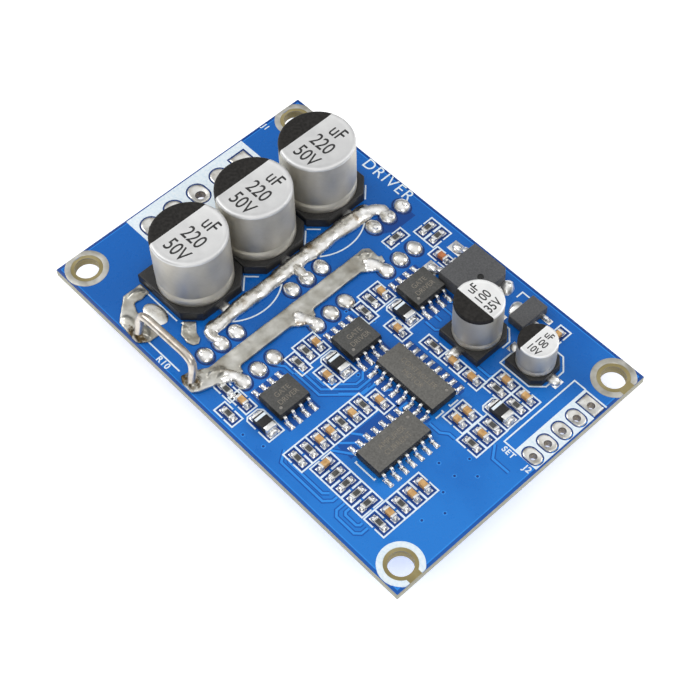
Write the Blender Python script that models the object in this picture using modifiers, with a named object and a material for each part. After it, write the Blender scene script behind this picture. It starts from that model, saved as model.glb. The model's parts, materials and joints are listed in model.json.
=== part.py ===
"""A three-phase motor driver board: a blue circuit board with its parts soldered on.

The board lies flat. +X runs along its long side, from the power pads to the signal pads, +Y from
its near edge to its far edge, and +Z is up. The origin is under the board's centre, on the plane
that the power transistors' metal tabs rest on. Every piece hangs on one empty, the datum, which
is the board's near corner at the power end, on the board's upper face: so a piece's location is
its place on the board, read like a drawing. Lengths are in millimetres until a mesh is made.
"""

import math

import bmesh
import bpy
from mathutils import Matrix, Vector

MM = 0.001

# The circuit board.
BOARD_LENGTH = 63.0
BOARD_WIDTH = 42.0
BOARD_THICKNESS = 1.2
SCREW_HOLE = 3.2
SCREW_HOLES = [(2.6, 3.0), (60.5, 3.0), (60.5, 39.2), (2.6, 39.2)]
RESTING_GAP = 0.02  # what lies on the board keeps this much air under it

# Power pads at one short end and signal pads at the other: rows of plated holes.
POWER_ROW_X, POWER_ROW_Y, POWER_PITCH, POWER_HOLE = 3.6, 21.3, 3.96, 1.4
SIGNAL_ROW_X, SIGNAL_ROW_Y, SIGNAL_PITCH, SIGNAL_HOLE = 61.3, 29.15, 2.54, 1.0
PADS_IN_A_ROW = 5

# Power transistors: six flat packages under the board, leads bent up through it.
LEAD_PITCH = 2.54
LEAD_HOLE = 1.3
HIGH_ROW_X, HIGH_ROW_Y = 23.5, [36.6, 22.2, 7.8]
LOW_ROW_X, LOW_ROW_Y = 29.6, [32.9, 20.8, 8.65]
PACKAGE_LENGTH, PACKAGE_WIDTH, PACKAGE_HEIGHT = 9.2, 10.1, 4.5
PACKAGE_START = 2.1  # from the leads' holes to the package
PACKAGE_GAP = 0.3  # air between the package and the board
TAB_LENGTH, TAB_THICKNESS = 6.3, 1.3
TAB_CORNER = 0.9
TAB_HOLE, TAB_HOLE_FROM_END = 3.6, 2.8
TAB_UNDERCUT = 0.5  # how far the plastic stops short of the tab's resting face
PACKAGE_TOP = -BOARD_THICKNESS - PACKAGE_GAP
PACKAGE_BOTTOM = PACKAGE_TOP - PACKAGE_HEIGHT
LEAD_LEVEL = PACKAGE_BOTTOM + 2.6
LEAD_TOP = 0.5
LEAD_WIDTH, LEAD_THICKNESS = 0.8, 0.5
JOINT_LENGTH, JOINT_WIDTH, JOINT_HEIGHT = 2.5, 2.1, 0.95
JOINT_PROFILE = [(0, 1), (0.45, 0.86), (0.86, 0.45)]  # shares of the joint's radius and height

# Capacitors: (name, x, y, turn in degrees, can diameter, top of the can).
CAPACITORS = [
    ("bulk_capacitor_near", 14.1, 11.75, 0, 10.0, 10.4),
    ("bulk_capacitor_middle", 14.2, 22.25, 0, 10.0, 10.4),
    ("bulk_capacitor_far", 14.1, 33.1, 0, 10.0, 10.4),
    ("supply_capacitor", 44.6, 31.55, 90, 6.3, 7.8),
    ("regulator_capacitor", 52.6, 33.6, 0, 5.0, 5.6),
]
CAN_WALL = 0.25
WINDING_GAP = 0.3
# Shares of a can's radius.
BASE_HALF, BASE_CORNER_CUT, BASE_POST = 1.03, 0.41, 0.09
CAN_RIM, CAN_GROOVE_HEIGHT, CAN_GROOVE_DEPTH, CAN_MOUTH = 0.13, 0.36, 0.05, 0.985
FOOT_WIDTH, FOOT_DROP, FOOT_REACH = 0.2, 0.4, 0.12
# Lengths that every size of can shares.
SEAT_CLEARANCE = 0.06
SLOT_CLEARANCE = 0.1
SLOT_HEIGHT = 0.4
GROOVE_HALF_WIDTH = 0.45
FOOT_THICKNESS = 0.22
FOOT_LEVEL = 0.2

# Small-outline chips: (name, x, y, turn in degrees, leads on each side, body length).
SMALL_OUTLINES = [
    ("gate_driver_far", 35.1, 31.2, 90, 4, 4.9),
    ("gate_driver_middle", 35.05, 20.05, 90, 4, 4.9),
    ("gate_driver_near", 35.1, 8.05, 90, 4, 4.9),
    ("motor_controller", 44.2, 21.35, 0, 8, 9.9),
    ("current_amplifier", 48.95, 13.05, 90, 7, 8.65),
]
CHIP_WIDTH, CHIP_TOP, CHIP_UNDER, CHIP_DRAFT = 3.9, 1.65, 0.15, 0.12
CHIP_PITCH, CHIP_SPAN = 1.27, 6.0
CHIP_LEAD_WIDTH, CHIP_LEAD_THICKNESS = 0.42, 0.2

# The two voltage regulators: places, and bodies as (half length, half width, bottom, top).
LARGE_REGULATOR, LARGE_BODY = (38.55, 37.2), (3.05, 3.25, 0.08, 2.35)
LARGE_TAB = [(1, -2.6), (3.0, -2.6), (3.6, -2.0), (3.6, 2.0), (3.0, 2.6), (1, 2.6)]
LARGE_TAB_THICKNESS = 0.5
LARGE_LEG_OFFSET, LARGE_LEG_WIDTH, LARGE_LEG_THICKNESS = 2.28, 0.8, 0.45
LARGE_LEG_PATH = [(-2.5, 1.1), (-3.9, 1.1), (-4.3, 0.27), (-5.6, 0.27)]
LARGE_STUB = ((-3.7, -0.4, 0.9), (-2.8, 0.4, 1.35))  # the middle leg, cut short
SMALL_REGULATOR, SMALL_BODY = (47.1, 38.1), (1.25, 2.25, 0.05, 1.5)
SMALL_FOOT_PITCH, SMALL_FOOT_WIDTH, SMALL_FOOT_END, SMALL_FOOT_TOP = 1.5, 0.46, 1.95, 0.42
SMALL_TAB_END, SMALL_TAB_WIDTH = -1.9, 1.7

# Diodes: (name, x, y), all with their band towards -X.
DIODES = [
    ("catch_diode_far", 35.9, 27.4),
    ("catch_diode_middle", 35.9, 16.15),
    ("catch_diode_near", 35.95, 4.0),
    ("supply_diode", 54.5, 25.6),
]
DIODE_BODY = ((-1.35, -0.9, 0.08), (1.35, 0.9, 1.05))
DIODE_FOOT_AT, DIODE_FOOT_LENGTH, DIODE_FOOT_WIDTH, DIODE_FOOT_TOP = 1.55, 0.8, 1.6, 0.45

# Small passives by node: (kind, x, y) of each, r for a resistor and c for a capacitor. Chips that
# share a printed frame are one node, standing on the thin patch that the frame encloses.
CHIP_LENGTH, CHIP_BREADTH = 1.6, 0.82
PASSIVE_HEIGHT = {"r": 0.5, "c": 0.8}
CAP_LENGTH, CAP_INSET, CAP_PROUD = 0.36, 0.16, 0.03  # the tinned ends: inset is to a cap's middle
CORE_INSET_LONG, CORE_INSET_WIDE = 0.15, 0.02
FRAME_MARGIN = 0.4
LYING_CHIPS = {
    "bootstrap_parts_middle": [("c", 31.7, 27.6), ("r", 31.7, 25.8), ("r", 32.4, 24.0)],
    "bootstrap_parts_near": [("c", 31.7, 16.4), ("r", 31.7, 14.65), ("r", 32.3, 12.8)],
    "driver_supply_chip_far": [("c", 33.1, 37.0)],
    "driver_supply_chip_middle": [("c", 37.2, 25.15)],
    "driver_supply_chip_near": [("c", 36.2, 14.1)],
    "bootstrap_chip_near": [("c", 31.7, 4.2)],
    "gate_chip_near": [("r", 31.85, 1.8)],
    "sense_chip": [("r", 29.1, 3.9)],
    "controller_chip_a": [("r", 42.05, 26.6)],
    "controller_chip_b": [("c", 45.35, 26.65)],
    "controller_chip_c": [("c", 48.6, 26.65)],
    "output_filter": [("c", 51.85, 29.35), ("c", 55.1, 29.35), ("r", 51.85, 27.65),
                      ("r", 55.1, 27.65)],
    "timing_chips": [("c", 51.65, 22.8), ("c", 51.65, 21.1)],
    "signal_filter": [("r", 55.1, 23.55), ("c", 55.1, 21.8), ("r", 55.1, 20.0)],
    "amplifier_supply_chip": [("c", 43.2, 16.25)],
    "sense_network_far": [("r", 42.25, 14.35), ("c", 42.25, 12.6), ("r", 42.25, 10.8),
                          ("c", 42.25, 9.0)],
    "sense_network_near": [("c", 42.25, 7.25), ("r", 42.25, 5.5), ("r", 42.25, 3.7)],
    "input_filter_column": [("c", 55.1, 11.9), ("c", 55.1, 10.1), ("r", 55.1, 8.3), ("c", 55.1, 6.5),
                            ("r", 55.1, 4.75)],
}
STANDING_CHIPS = {
    "divider_chips": [("r", 28.45, 39.0), ("r", 30.3, 39.0)],
    "gate_chip_far": [("r", 26.75, 34.9)],
    "regulator_chip": [("c", 51.65, 38.6)],
    "amplifier_feedback_row": [("c", 45.1, 5.5), ("r", 46.9, 5.5), ("r", 48.7, 5.5), ("r", 50.5, 5.5),
                               ("r", 52.3, 5.5)],
}
PATCH_THICKNESS = 0.05

# The current shunt: a bent staple of bare wire between the capacitors and the return bar.
SHUNT_WIRE = 1.1
SHUNT_RISE = 4.7
SHUNT_LEFT, SHUNT_RIGHT = (15.5, 1.15), (25.6, 1.3)
SHUNT_LEAN = 0.8  # its crown leans this far towards +Y
SHUNT_BEND = 1.1
SHUNT_STRAIGHT = 0.3  # its legs stay upright to this height
SHUNT_THROUGH = 0.6  # its feet reach this far below the board

# Solder-filled conductors on the board's upper face.
SUPPLY_TRACK_X, SUPPLY_TRACK_WIDTH, SUPPLY_TRACK_HEIGHT = 20.75, 1.4, 0.9
SUPPLY_TRACK_ENDS = (7.1, 37.4)
BRANCH_WIDTH = 1.3
BRANCH_GAP = 0.06  # between an arm's end and its joint
TRACK_ROUNDING = 0.3
RETURN_BAR_X, RETURN_BAR_WIDTH, RETURN_BAR_HEIGHT = 26.5, 2.5, 0.7
RETURN_BAR_TOP = 31.2
RETURN_BAR_END = [(23.7, 2.2), (23.8, 1.0), (24.9, 0.35), (26.4, 0.35), (27.0, 1.0)]
SHUNT_LAND, SHUNT_LAND_HEIGHT = [
    (9.4, 6.3), (9.4, 3.5), (12.2, 0.6), (14.6, 0.35), (16.3, 0.35), (17.2, 1.6), (17.2, 3.3), (15.5, 2.9),
    (12.4, 3.4), (11.3, 3.9), (11.3, 6.3)], 0.4
SPARE_LAND, SPARE_LAND_HEIGHT = [
    (17.55, 6.45), (19.0, 5.05), (20.4, 4.8), (21.3, 5.15), (21.6, 5.8), (21.1, 6.5), (20.1, 6.75),
    (18.8, 7.75)], 0.3


def clear_scene():
    for obj in list(bpy.data.objects):
        bpy.data.objects.remove(obj, do_unlink=True)


def make_collection(name):
    collection = bpy.data.collections.new(name)
    bpy.context.scene.collection.children.link(collection)
    return collection


def make_datum():
    """The board's near corner at the power end, on its upper face."""
    datum = bpy.data.objects.new("board_datum", None)
    PARTS.objects.link(datum)
    datum.location = Vector((-BOARD_LENGTH / 2, -BOARD_WIDTH / 2, -PACKAGE_BOTTOM)) * MM
    return datum


def make_material(name, colour, roughness, metallic=0.0):
    material = bpy.data.materials.new(name)
    material.use_nodes = True
    shader = material.node_tree.nodes["Principled BSDF"]
    shader.inputs["Base Color"].default_value = (*colour, 1)
    shader.inputs["Roughness"].default_value = roughness
    shader.inputs["Metallic"].default_value = metallic
    return material


def add_piece(name, mesh, material, place=(0, 0), turn=0):
    """A node of the assembly, standing on the board at this place."""
    obj = bpy.data.objects.new(name, mesh)
    PARTS.objects.link(obj)
    mesh.materials.append(material)
    obj.parent = DATUM
    obj.location = Vector((place[0], place[1], 0)) * MM
    obj.rotation_euler.z = math.radians(turn)
    return obj


def combine(piece, name, mesh, operation):
    """Joins a mesh to a piece, or cuts it away, in the piece's own frame."""
    tool = bpy.data.objects.new(f"{piece.name}_{name}", mesh)
    CUTTERS.objects.link(tool)
    tool.parent = piece
    tool.hide_render = True
    tool.display_type = "WIRE"
    modifier = piece.modifiers.new(name, "BOOLEAN")
    modifier.operation = operation
    modifier.object = tool


def mesh_of(bm, name):
    mesh = bpy.data.meshes.new(name)
    bm.to_mesh(mesh)
    bm.free()
    return mesh


def add_box(bm, low, high):
    """A box between two corners."""
    low, high = Vector(low) * MM, Vector(high) * MM
    size = Matrix.Diagonal((*(high - low), 1))
    bmesh.ops.create_cube(bm, size=1, matrix=Matrix.Translation((low + high) / 2) @ size)


def add_peg(bm, radius, bottom, top, place=(0, 0), segments=12):
    """An upright cylinder."""
    middle = Vector((place[0], place[1], (bottom + top) / 2)) * MM
    bmesh.ops.create_cone(bm, cap_ends=True, segments=segments, radius1=radius * MM,
                          radius2=radius * MM, depth=(top - bottom) * MM,
                          matrix=Matrix.Translation(middle))


def boxes_mesh(name, boxes):
    bm = bmesh.new()
    for low, high in boxes:
        add_box(bm, low, high)
    return mesh_of(bm, name)


def pegs_mesh(name, places, radius, bottom, top, segments=12):
    bm = bmesh.new()
    for place in places:
        add_peg(bm, radius, bottom, top, place, segments)
    return mesh_of(bm, name)


def baked(obj):
    """The evaluated mesh of a helper object, with its loose caps welded. The helper is removed."""
    bpy.context.view_layer.update()
    graph = bpy.context.evaluated_depsgraph_get()
    mesh = bpy.data.meshes.new_from_object(obj.evaluated_get(graph))
    mesh.transform(obj.matrix_world)
    bm = bmesh.new()
    bm.from_mesh(mesh)
    bmesh.ops.remove_doubles(bm, verts=bm.verts, dist=0.001 * MM)
    bmesh.ops.recalc_face_normals(bm, faces=bm.faces)
    bm.to_mesh(mesh)
    bm.free()
    bpy.data.objects.remove(obj, do_unlink=True)
    return mesh


def slab_mesh(name, points, bottom, top):
    """A flat outline, given counterclockwise, extruded from one height to another."""
    curve = bpy.data.curves.new(name, "CURVE")
    curve.dimensions = "2D"
    curve.fill_mode = "BOTH"
    curve.extrude = (top - bottom) / 2 * MM
    spline = curve.splines.new("POLY")
    spline.points.add(len(points) - 1)
    for point, (x, y) in zip(spline.points, points):
        point.co = (x * MM, y * MM, 0, 1)
    spline.use_cyclic_u = True
    holder = bpy.data.objects.new(name, curve)
    bpy.context.scene.collection.objects.link(holder)
    holder.location.z = (bottom + top) / 2 * MM
    return baked(holder)


def strip_mesh(name, path, thickness, width):
    """A flat metal strip bent along a path of (x, z) points in the XZ plane."""
    left, right = [], []
    for index, (x, z) in enumerate(path):
        before = Vector(path[max(index - 1, 0)])
        after = Vector(path[min(index + 1, len(path) - 1)])
        here = Vector((x, z))
        incoming = (here - before).normalized() if index else (after - here).normalized()
        outgoing = (after - here).normalized() if index < len(path) - 1 else incoming
        along = (incoming + outgoing).normalized()
        reach = thickness / 2 / max(along.dot(incoming), 0.5)
        side = Vector((-along.y, along.x)) * reach
        left.append(here + side)
        right.append(here - side)
    mesh = slab_mesh(name, right + left[::-1], -width / 2, width / 2)
    mesh.transform(Matrix.Rotation(math.pi / 2, 4, "X"))
    return mesh


def turned_mesh(name, profile, steps, stretch=(1, 1)):
    """A solid of revolution: the profile's (radius, height) points run from the top down."""
    obj = turned_object(name, profile, steps)
    obj.scale = (stretch[0], stretch[1], 1)
    bpy.context.scene.collection.objects.link(obj)
    return baked(obj)


def turned_object(name, profile, steps):
    mesh = bpy.data.meshes.new(name)
    points = [(radius * MM, 0, height * MM) for radius, height in profile]
    mesh.from_pydata(points, [(i, i + 1) for i in range(len(points) - 1)], [])
    obj = bpy.data.objects.new(name, mesh)
    screw = obj.modifiers.new("turn", "SCREW")
    screw.steps = screw.render_steps = steps
    screw.use_merge_vertices = True
    screw.merge_threshold = 0.001 * MM
    screw.use_smooth_shade = True
    return obj


def merged(name, mesh, matrices):
    """One mesh made of copies of another, one for each matrix."""
    bm = bmesh.new()
    for matrix in matrices:
        copy = mesh.copy()
        copy.transform(matrix)
        bm.from_mesh(copy)
        bpy.data.meshes.remove(copy)
    return mesh_of(bm, name)


def shifted(x=0, y=0, z=0, turn=0):
    return Matrix.Translation(Vector((x, y, z)) * MM) @ Matrix.Rotation(math.radians(turn), 4, "Z")


def row(centre, pitch, count):
    return [centre + (index - (count - 1) / 2) * pitch for index in range(count)]


def make_board():
    board = add_piece("circuit_board", boxes_mesh("circuit_board", [
        ((0, 0, -BOARD_THICKNESS), (BOARD_LENGTH, BOARD_WIDTH, 0))]), MASK_BLUE)
    bottom, top = -BOARD_THICKNESS - 1, 1
    combine(board, "screw_holes",
            pegs_mesh("screw_holes", SCREW_HOLES, SCREW_HOLE / 2, bottom, top, 32), "DIFFERENCE")
    power = [(POWER_ROW_X, y) for y in row(POWER_ROW_Y, POWER_PITCH, PADS_IN_A_ROW)]
    combine(board, "power_holes",
            pegs_mesh("power_holes", power, POWER_HOLE / 2, bottom, top), "DIFFERENCE")
    signal = [(SIGNAL_ROW_X, y) for y in row(SIGNAL_ROW_Y, SIGNAL_PITCH, PADS_IN_A_ROW)]
    combine(board, "signal_holes",
            pegs_mesh("signal_holes", signal, SIGNAL_HOLE / 2, bottom, top), "DIFFERENCE")
    leads = [(x, y) for x, middles in ((HIGH_ROW_X, HIGH_ROW_Y), (LOW_ROW_X, LOW_ROW_Y))
             for middle in middles for y in row(middle, LEAD_PITCH, 3)]
    leads += [SHUNT_LEFT, SHUNT_RIGHT]
    combine(board, "lead_holes",
            pegs_mesh("lead_holes", leads, LEAD_HOLE / 2, bottom, top), "DIFFERENCE")


def make_power_transistor(name, place, turn):
    """A flat package with a metal tab: its three leads rise through the board into solder."""
    start, end = -PACKAGE_START, -PACKAGE_START - PACKAGE_LENGTH
    half = PACKAGE_WIDTH / 2
    body = boxes_mesh(name, [((end, -half, PACKAGE_BOTTOM + TAB_UNDERCUT), (start, half, PACKAGE_TOP))])
    piece = add_piece(name, body, PACKAGE_BLACK, place, turn)
    tab_end, tab_start, side = end - TAB_LENGTH, start - 1, half - 0.05
    outline = [(tab_end, -half + TAB_CORNER), (tab_end + TAB_CORNER, -side), (tab_start, -side),
               (tab_start, side), (tab_end + TAB_CORNER, side), (tab_end, half - TAB_CORNER)]
    tab = slab_mesh("tab", outline, PACKAGE_BOTTOM, PACKAGE_BOTTOM + TAB_THICKNESS)
    combine(piece, "tab", tab, "UNION")
    hole = pegs_mesh("tab_hole", [(tab_end + TAB_HOLE_FROM_END, 0)], TAB_HOLE / 2, PACKAGE_BOTTOM - 1,
                     PACKAGE_TOP, 16)
    combine(piece, "tab_hole", hole, "DIFFERENCE")
    path = [(start - 0.5, LEAD_LEVEL), (-0.7, LEAD_LEVEL), (-0.2, LEAD_LEVEL + 0.2),
            (0, LEAD_LEVEL + 0.7), (0, LEAD_TOP)]
    lead = strip_mesh("lead", path, LEAD_THICKNESS, LEAD_WIDTH)
    profile = [(radius, height * JOINT_HEIGHT) for radius, height in JOINT_PROFILE]
    profile += [(1, RESTING_GAP), (0, RESTING_GAP)]
    joint = turned_mesh("joint", profile, 12, (JOINT_LENGTH / 2, JOINT_WIDTH / 2))
    spots = [shifted(y=y) for y in row(0, LEAD_PITCH, 3)]
    combine(piece, "leads", merged("leads", lead, spots), "UNION")
    combine(piece, "joints", merged("joints", joint, spots), "UNION")


def make_capacitor(name, x, y, turn, diameter, top):
    """An aluminium can on a moulded base, round a winding whose two leads bend out underneath."""
    radius = diameter / 2
    half = radius * BASE_HALF + 0.05
    floor = 0.95 + radius * 0.04
    post = floor + radius * BASE_POST
    cut = radius * BASE_CORNER_CUT
    outline = [(-half, -half), (half - cut, -half), (half, -half + cut), (half, half - cut),
               (half - cut, half), (-half, half)]
    base = add_piece(f"{name}_base", slab_mesh("base", outline, RESTING_GAP, post), BASE_BLACK, (x, y), turn)
    seat = pegs_mesh("seat", [(0, 0)], radius + SEAT_CLEARANCE, floor, post + 1, 24)
    combine(base, "seat", seat, "DIFFERENCE")
    lead_width = radius * FOOT_WIDTH
    slot = lead_width / 2 + SLOT_CLEARANCE
    slots = boxes_mesh("lead_slot", [((-half - 1, -slot, -1), (half + 1, slot, SLOT_HEIGHT))])
    combine(base, "lead_slot", slots, "DIFFERENCE")
    drop = radius * FOOT_DROP
    ways = [((side * drop - 0.4, -slot, 0), (side * drop + 0.4, slot, post)) for side in (-1, 1)]
    combine(base, "lead_ways", boxes_mesh("lead_ways", ways), "DIFFERENCE")

    can_floor = floor + SEAT_CLEARANCE
    rim = radius * CAN_RIM
    groove = can_floor + radius * CAN_GROOVE_HEIGHT
    profile = [(0, top), (radius - rim, top), (radius - rim * 0.3, top - rim * 0.3), (radius, top - rim),
               (radius, groove + GROOVE_HALF_WIDTH), (radius * (1 - CAN_GROOVE_DEPTH), groove),
               (radius, groove - GROOVE_HALF_WIDTH), (radius * CAN_MOUTH, can_floor)]
    can = turned_object(f"{name}_can", profile, 24)
    can.data.materials.append(CAN_ALUMINIUM)
    PARTS.objects.link(can)
    can.parent = DATUM
    can.location = Vector((x, y, 0)) * MM
    can.rotation_euler.z = math.radians(turn)
    wall = can.modifiers.new("wall", "SOLIDIFY")
    wall.thickness = CAN_WALL * MM
    wall.offset = -1

    inner = radius * (1 - CAN_GROOVE_DEPTH) - CAN_WALL - WINDING_GAP
    upper, lower = top - CAN_WALL - 0.4, can_floor + 0.1
    profile = [(0, upper), (inner, upper), (inner, lower), (0, lower)]
    winding = add_piece(f"{name}_winding", turned_mesh("winding", profile, 16), WINDING_BROWN, (x, y), turn)
    for side, end in ((-1, "minus"), (1, "plus")):
        path = [(side * drop, can_floor + 0.6), (side * drop, FOOT_LEVEL),
                (side * (half + radius * FOOT_REACH), FOOT_LEVEL)]
        combine(winding, f"lead_{end}", strip_mesh("lead", path, FOOT_THICKNESS, lead_width), "UNION")


def make_small_outline(name, x, y, turn, leads_on_a_side, length):
    """A moulded chip with gull-wing leads along its two long sides."""
    half_length, half_width = length / 2, CHIP_WIDTH / 2
    middle = (CHIP_UNDER + CHIP_TOP) / 2
    outline = [(-half_width, CHIP_UNDER), (half_width, CHIP_UNDER), (half_width + CHIP_DRAFT, middle),
               (half_width, CHIP_TOP), (-half_width, CHIP_TOP), (-half_width - CHIP_DRAFT, middle)]
    body = slab_mesh("body", outline, -half_length, half_length)
    body.transform(Matrix.Rotation(math.pi / 2, 4, "Z") @ Matrix.Rotation(math.pi / 2, 4, "X"))
    piece = add_piece(name, body, CHIP_BLACK, (x, y), turn)
    path = [(half_width - 0.3, middle), (half_width + 0.32, middle), (half_width + 0.5, 0.16),
            (CHIP_SPAN / 2, 0.14)]
    lead = strip_mesh("lead", path, CHIP_LEAD_THICKNESS, CHIP_LEAD_WIDTH)
    offsets = row(0, CHIP_PITCH, leads_on_a_side)
    spots = [shifted(x=offset, turn=side) for offset in offsets for side in (-90, 90)]
    combine(piece, "leads", merged("leads", lead, spots), "UNION")


def make_large_regulator():
    """The thick regulator, with a heat tab and a middle leg that is cut short."""
    long, wide, bottom, top = LARGE_BODY
    body = boxes_mesh("body", [((-long, -wide, bottom), (long, wide, top))])
    piece = add_piece("motor_supply_regulator", body, PACKAGE_BLACK, LARGE_REGULATOR)
    combine(piece, "tab", slab_mesh("tab", LARGE_TAB, RESTING_GAP, LARGE_TAB_THICKNESS), "UNION")
    leg = strip_mesh("leg", LARGE_LEG_PATH, LARGE_LEG_THICKNESS, LARGE_LEG_WIDTH)
    spots = [shifted(y=side * LARGE_LEG_OFFSET) for side in (-1, 1)]
    combine(piece, "legs", merged("legs", leg, spots), "UNION")
    combine(piece, "stub", boxes_mesh("stub", [LARGE_STUB]), "UNION")


def make_small_regulator():
    """The flat regulator: three feet on one side and a tab on the other."""
    long, wide, bottom, top = SMALL_BODY
    body = boxes_mesh("body", [((-long, -wide, bottom), (long, wide, top))])
    piece = add_piece("logic_supply_regulator", body, PACKAGE_BLACK, SMALL_REGULATOR)
    half = SMALL_FOOT_WIDTH / 2
    feet = [((0.8, y - half, RESTING_GAP), (SMALL_FOOT_END, y + half, SMALL_FOOT_TOP))
            for y in row(0, SMALL_FOOT_PITCH, 3)]
    half = SMALL_TAB_WIDTH / 2
    feet.append(((SMALL_TAB_END, -half, RESTING_GAP), (-0.8, half, SMALL_FOOT_TOP)))
    combine(piece, "feet", boxes_mesh("feet", feet), "UNION")


def make_diode(name, x, y):
    piece = add_piece(name, boxes_mesh(name, [DIODE_BODY]), PACKAGE_BLACK, (x, y))
    long, wide = DIODE_FOOT_LENGTH / 2, DIODE_FOOT_WIDTH / 2
    feet = [((middle - long, -wide, RESTING_GAP), (middle + long, wide, DIODE_FOOT_TOP))
            for middle in (-DIODE_FOOT_AT, DIODE_FOOT_AT)]
    combine(piece, "feet", boxes_mesh("feet", feet), "UNION")


def make_chips(name, chips, standing):
    """Chips of one printed frame: each a ceramic block between two tinned ends."""
    kinds = {kind for kind, _, _ in chips}
    material = CHIP_TAN if kinds == {"c"} else CHIP_GREY
    turn = 90 if standing else 0
    first = chips[0]
    long, wide = CHIP_LENGTH / 2, CHIP_BREADTH / 2
    core_long, core_wide = long - CORE_INSET_LONG, wide - CORE_INSET_WIDE
    cores, ends, middles = [], [], []
    for kind, x, y in chips:
        across, up = x - first[1], y - first[2]
        if standing:
            across, up = up, -across
        middles.append((across, up))
        height = PASSIVE_HEIGHT[kind]
        cores.append(((across - core_long, up - core_wide, 0.03),
                      (across + core_long, up + core_wide, height)))
        for side in (-1, 1):
            cap = across + side * (long - CAP_INSET)
            ends.append(((cap - CAP_LENGTH / 2, up - wide, 0.035),
                         (cap + CAP_LENGTH / 2, up + wide, height + CAP_PROUD)))
    long, wide = long + FRAME_MARGIN, wide + FRAME_MARGIN
    xs, ys = zip(*middles)
    low = (min(xs) - long, min(ys) - wide, RESTING_GAP)
    high = (max(xs) + long, max(ys) + wide, RESTING_GAP + PATCH_THICKNESS)
    piece = add_piece(name, boxes_mesh(name, [(low, high)]), material, first[1:], turn)
    combine(piece, "cores", boxes_mesh("cores", cores), "UNION")
    combine(piece, "ends", boxes_mesh("ends", ends), "UNION")


def make_shunt():
    """A staple of round wire: two legs through the board and a crown held clear of it."""
    (x1, y1), (x2, y2) = SHUNT_LEFT, SHUNT_RIGHT
    foot = -BOARD_THICKNESS - SHUNT_THROUGH
    points = [(x1, y1, foot), (x1, y1, SHUNT_STRAIGHT)]
    for x, y, inward in ((x1, y1, 1), (x2, y2, -1)):
        corner = []
        for angle in (0, 30, 60, 90):
            turn = math.radians(angle)
            corner.append((x + inward * SHUNT_BEND * (1 - math.cos(turn)), y + SHUNT_LEAN,
                           SHUNT_RISE - SHUNT_BEND * (1 - math.sin(turn))))
        points += corner if inward > 0 else corner[::-1]
    points += [(x2, y2, SHUNT_STRAIGHT), (x2, y2, foot)]
    curve = bpy.data.curves.new("shunt", "CURVE")
    curve.dimensions = "3D"
    curve.bevel_depth = SHUNT_WIRE / 2 * MM
    curve.bevel_resolution = 2
    curve.use_fill_caps = True
    spline = curve.splines.new("POLY")
    spline.points.add(len(points) - 1)
    for point, place in zip(spline.points, points):
        point.co = (*(Vector(place) * MM), 1)
    holder = bpy.data.objects.new("shunt", curve)
    bpy.context.scene.collection.objects.link(holder)
    add_piece("current_shunt", baked(holder), TINNED)


def make_supply_track():
    """The solder-filled positive track, with an arm to each high-side transistor and capacitor."""
    bottom, top = SUPPLY_TRACK_ENDS
    left = SUPPLY_TRACK_X - SUPPLY_TRACK_WIDTH / 2
    right = SUPPLY_TRACK_X + SUPPLY_TRACK_WIDTH / 2
    arm_end = HIGH_ROW_X - JOINT_LENGTH / 2 - BRANCH_GAP
    half = BRANCH_WIDTH / 2
    outline = [(left, bottom), (right, bottom)]
    for y in sorted(HIGH_ROW_Y):
        outline += [(right, y - half), (arm_end, y - half), (arm_end, y + half), (right, y + half)]
    outline += [(right, top), (left, top)]
    slab = slab_mesh("supply_track", outline, RESTING_GAP, SUPPLY_TRACK_HEIGHT)
    round_over(add_piece("supply_track", slab, SOLDER), TRACK_ROUNDING)


def make_return_bar():
    """The flat tinned bar that gathers the low-side transistors and ends round the shunt's leg."""
    left = RETURN_BAR_X - RETURN_BAR_WIDTH / 2
    right = RETURN_BAR_X + RETURN_BAR_WIDTH / 2
    arm_end = LOW_ROW_X - JOINT_LENGTH / 2 - BRANCH_GAP
    half = BRANCH_WIDTH / 2
    outline = [(left, 4.6), *RETURN_BAR_END, (right, 2.9)]
    for middle in sorted(LOW_ROW_Y):
        y = middle - LEAD_PITCH
        outline += [(right, y - half), (arm_end, y - half), (arm_end, y + half), (right, y + half)]
    outline += [(right - 0.3, RETURN_BAR_TOP), (left + 0.5, RETURN_BAR_TOP), (left, RETURN_BAR_TOP - 0.9)]
    bar = add_piece("return_bar", slab_mesh("return_bar", outline, RESTING_GAP, RETURN_BAR_HEIGHT), TINNED)
    combine(bar, "shunt_way", pegs_mesh("shunt_way", [SHUNT_RIGHT], LEAD_HOLE / 2, -1, 2), "DIFFERENCE")


def make_lands():
    """The tinned area round the shunt's other leg, and a short spare one beside the near capacitor."""
    slab = slab_mesh("shunt_land", SHUNT_LAND, RESTING_GAP, SHUNT_LAND_HEIGHT)
    land = add_piece("shunt_land", slab, TINNED)
    combine(land, "shunt_way", pegs_mesh("shunt_way", [SHUNT_LEFT], LEAD_HOLE / 2, -1, 2), "DIFFERENCE")
    add_piece("spare_land", slab_mesh("spare_land", SPARE_LAND, RESTING_GAP, SPARE_LAND_HEIGHT), TINNED)


def round_over(piece, width):
    bevel = piece.modifiers.new("rounding", "BEVEL")
    bevel.width = width * MM
    bevel.segments = 1
    bevel.limit_method = "ANGLE"


clear_scene()
PARTS = make_collection("motor_driver_board")
CUTTERS = make_collection("cutters")
DATUM = make_datum()

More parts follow.
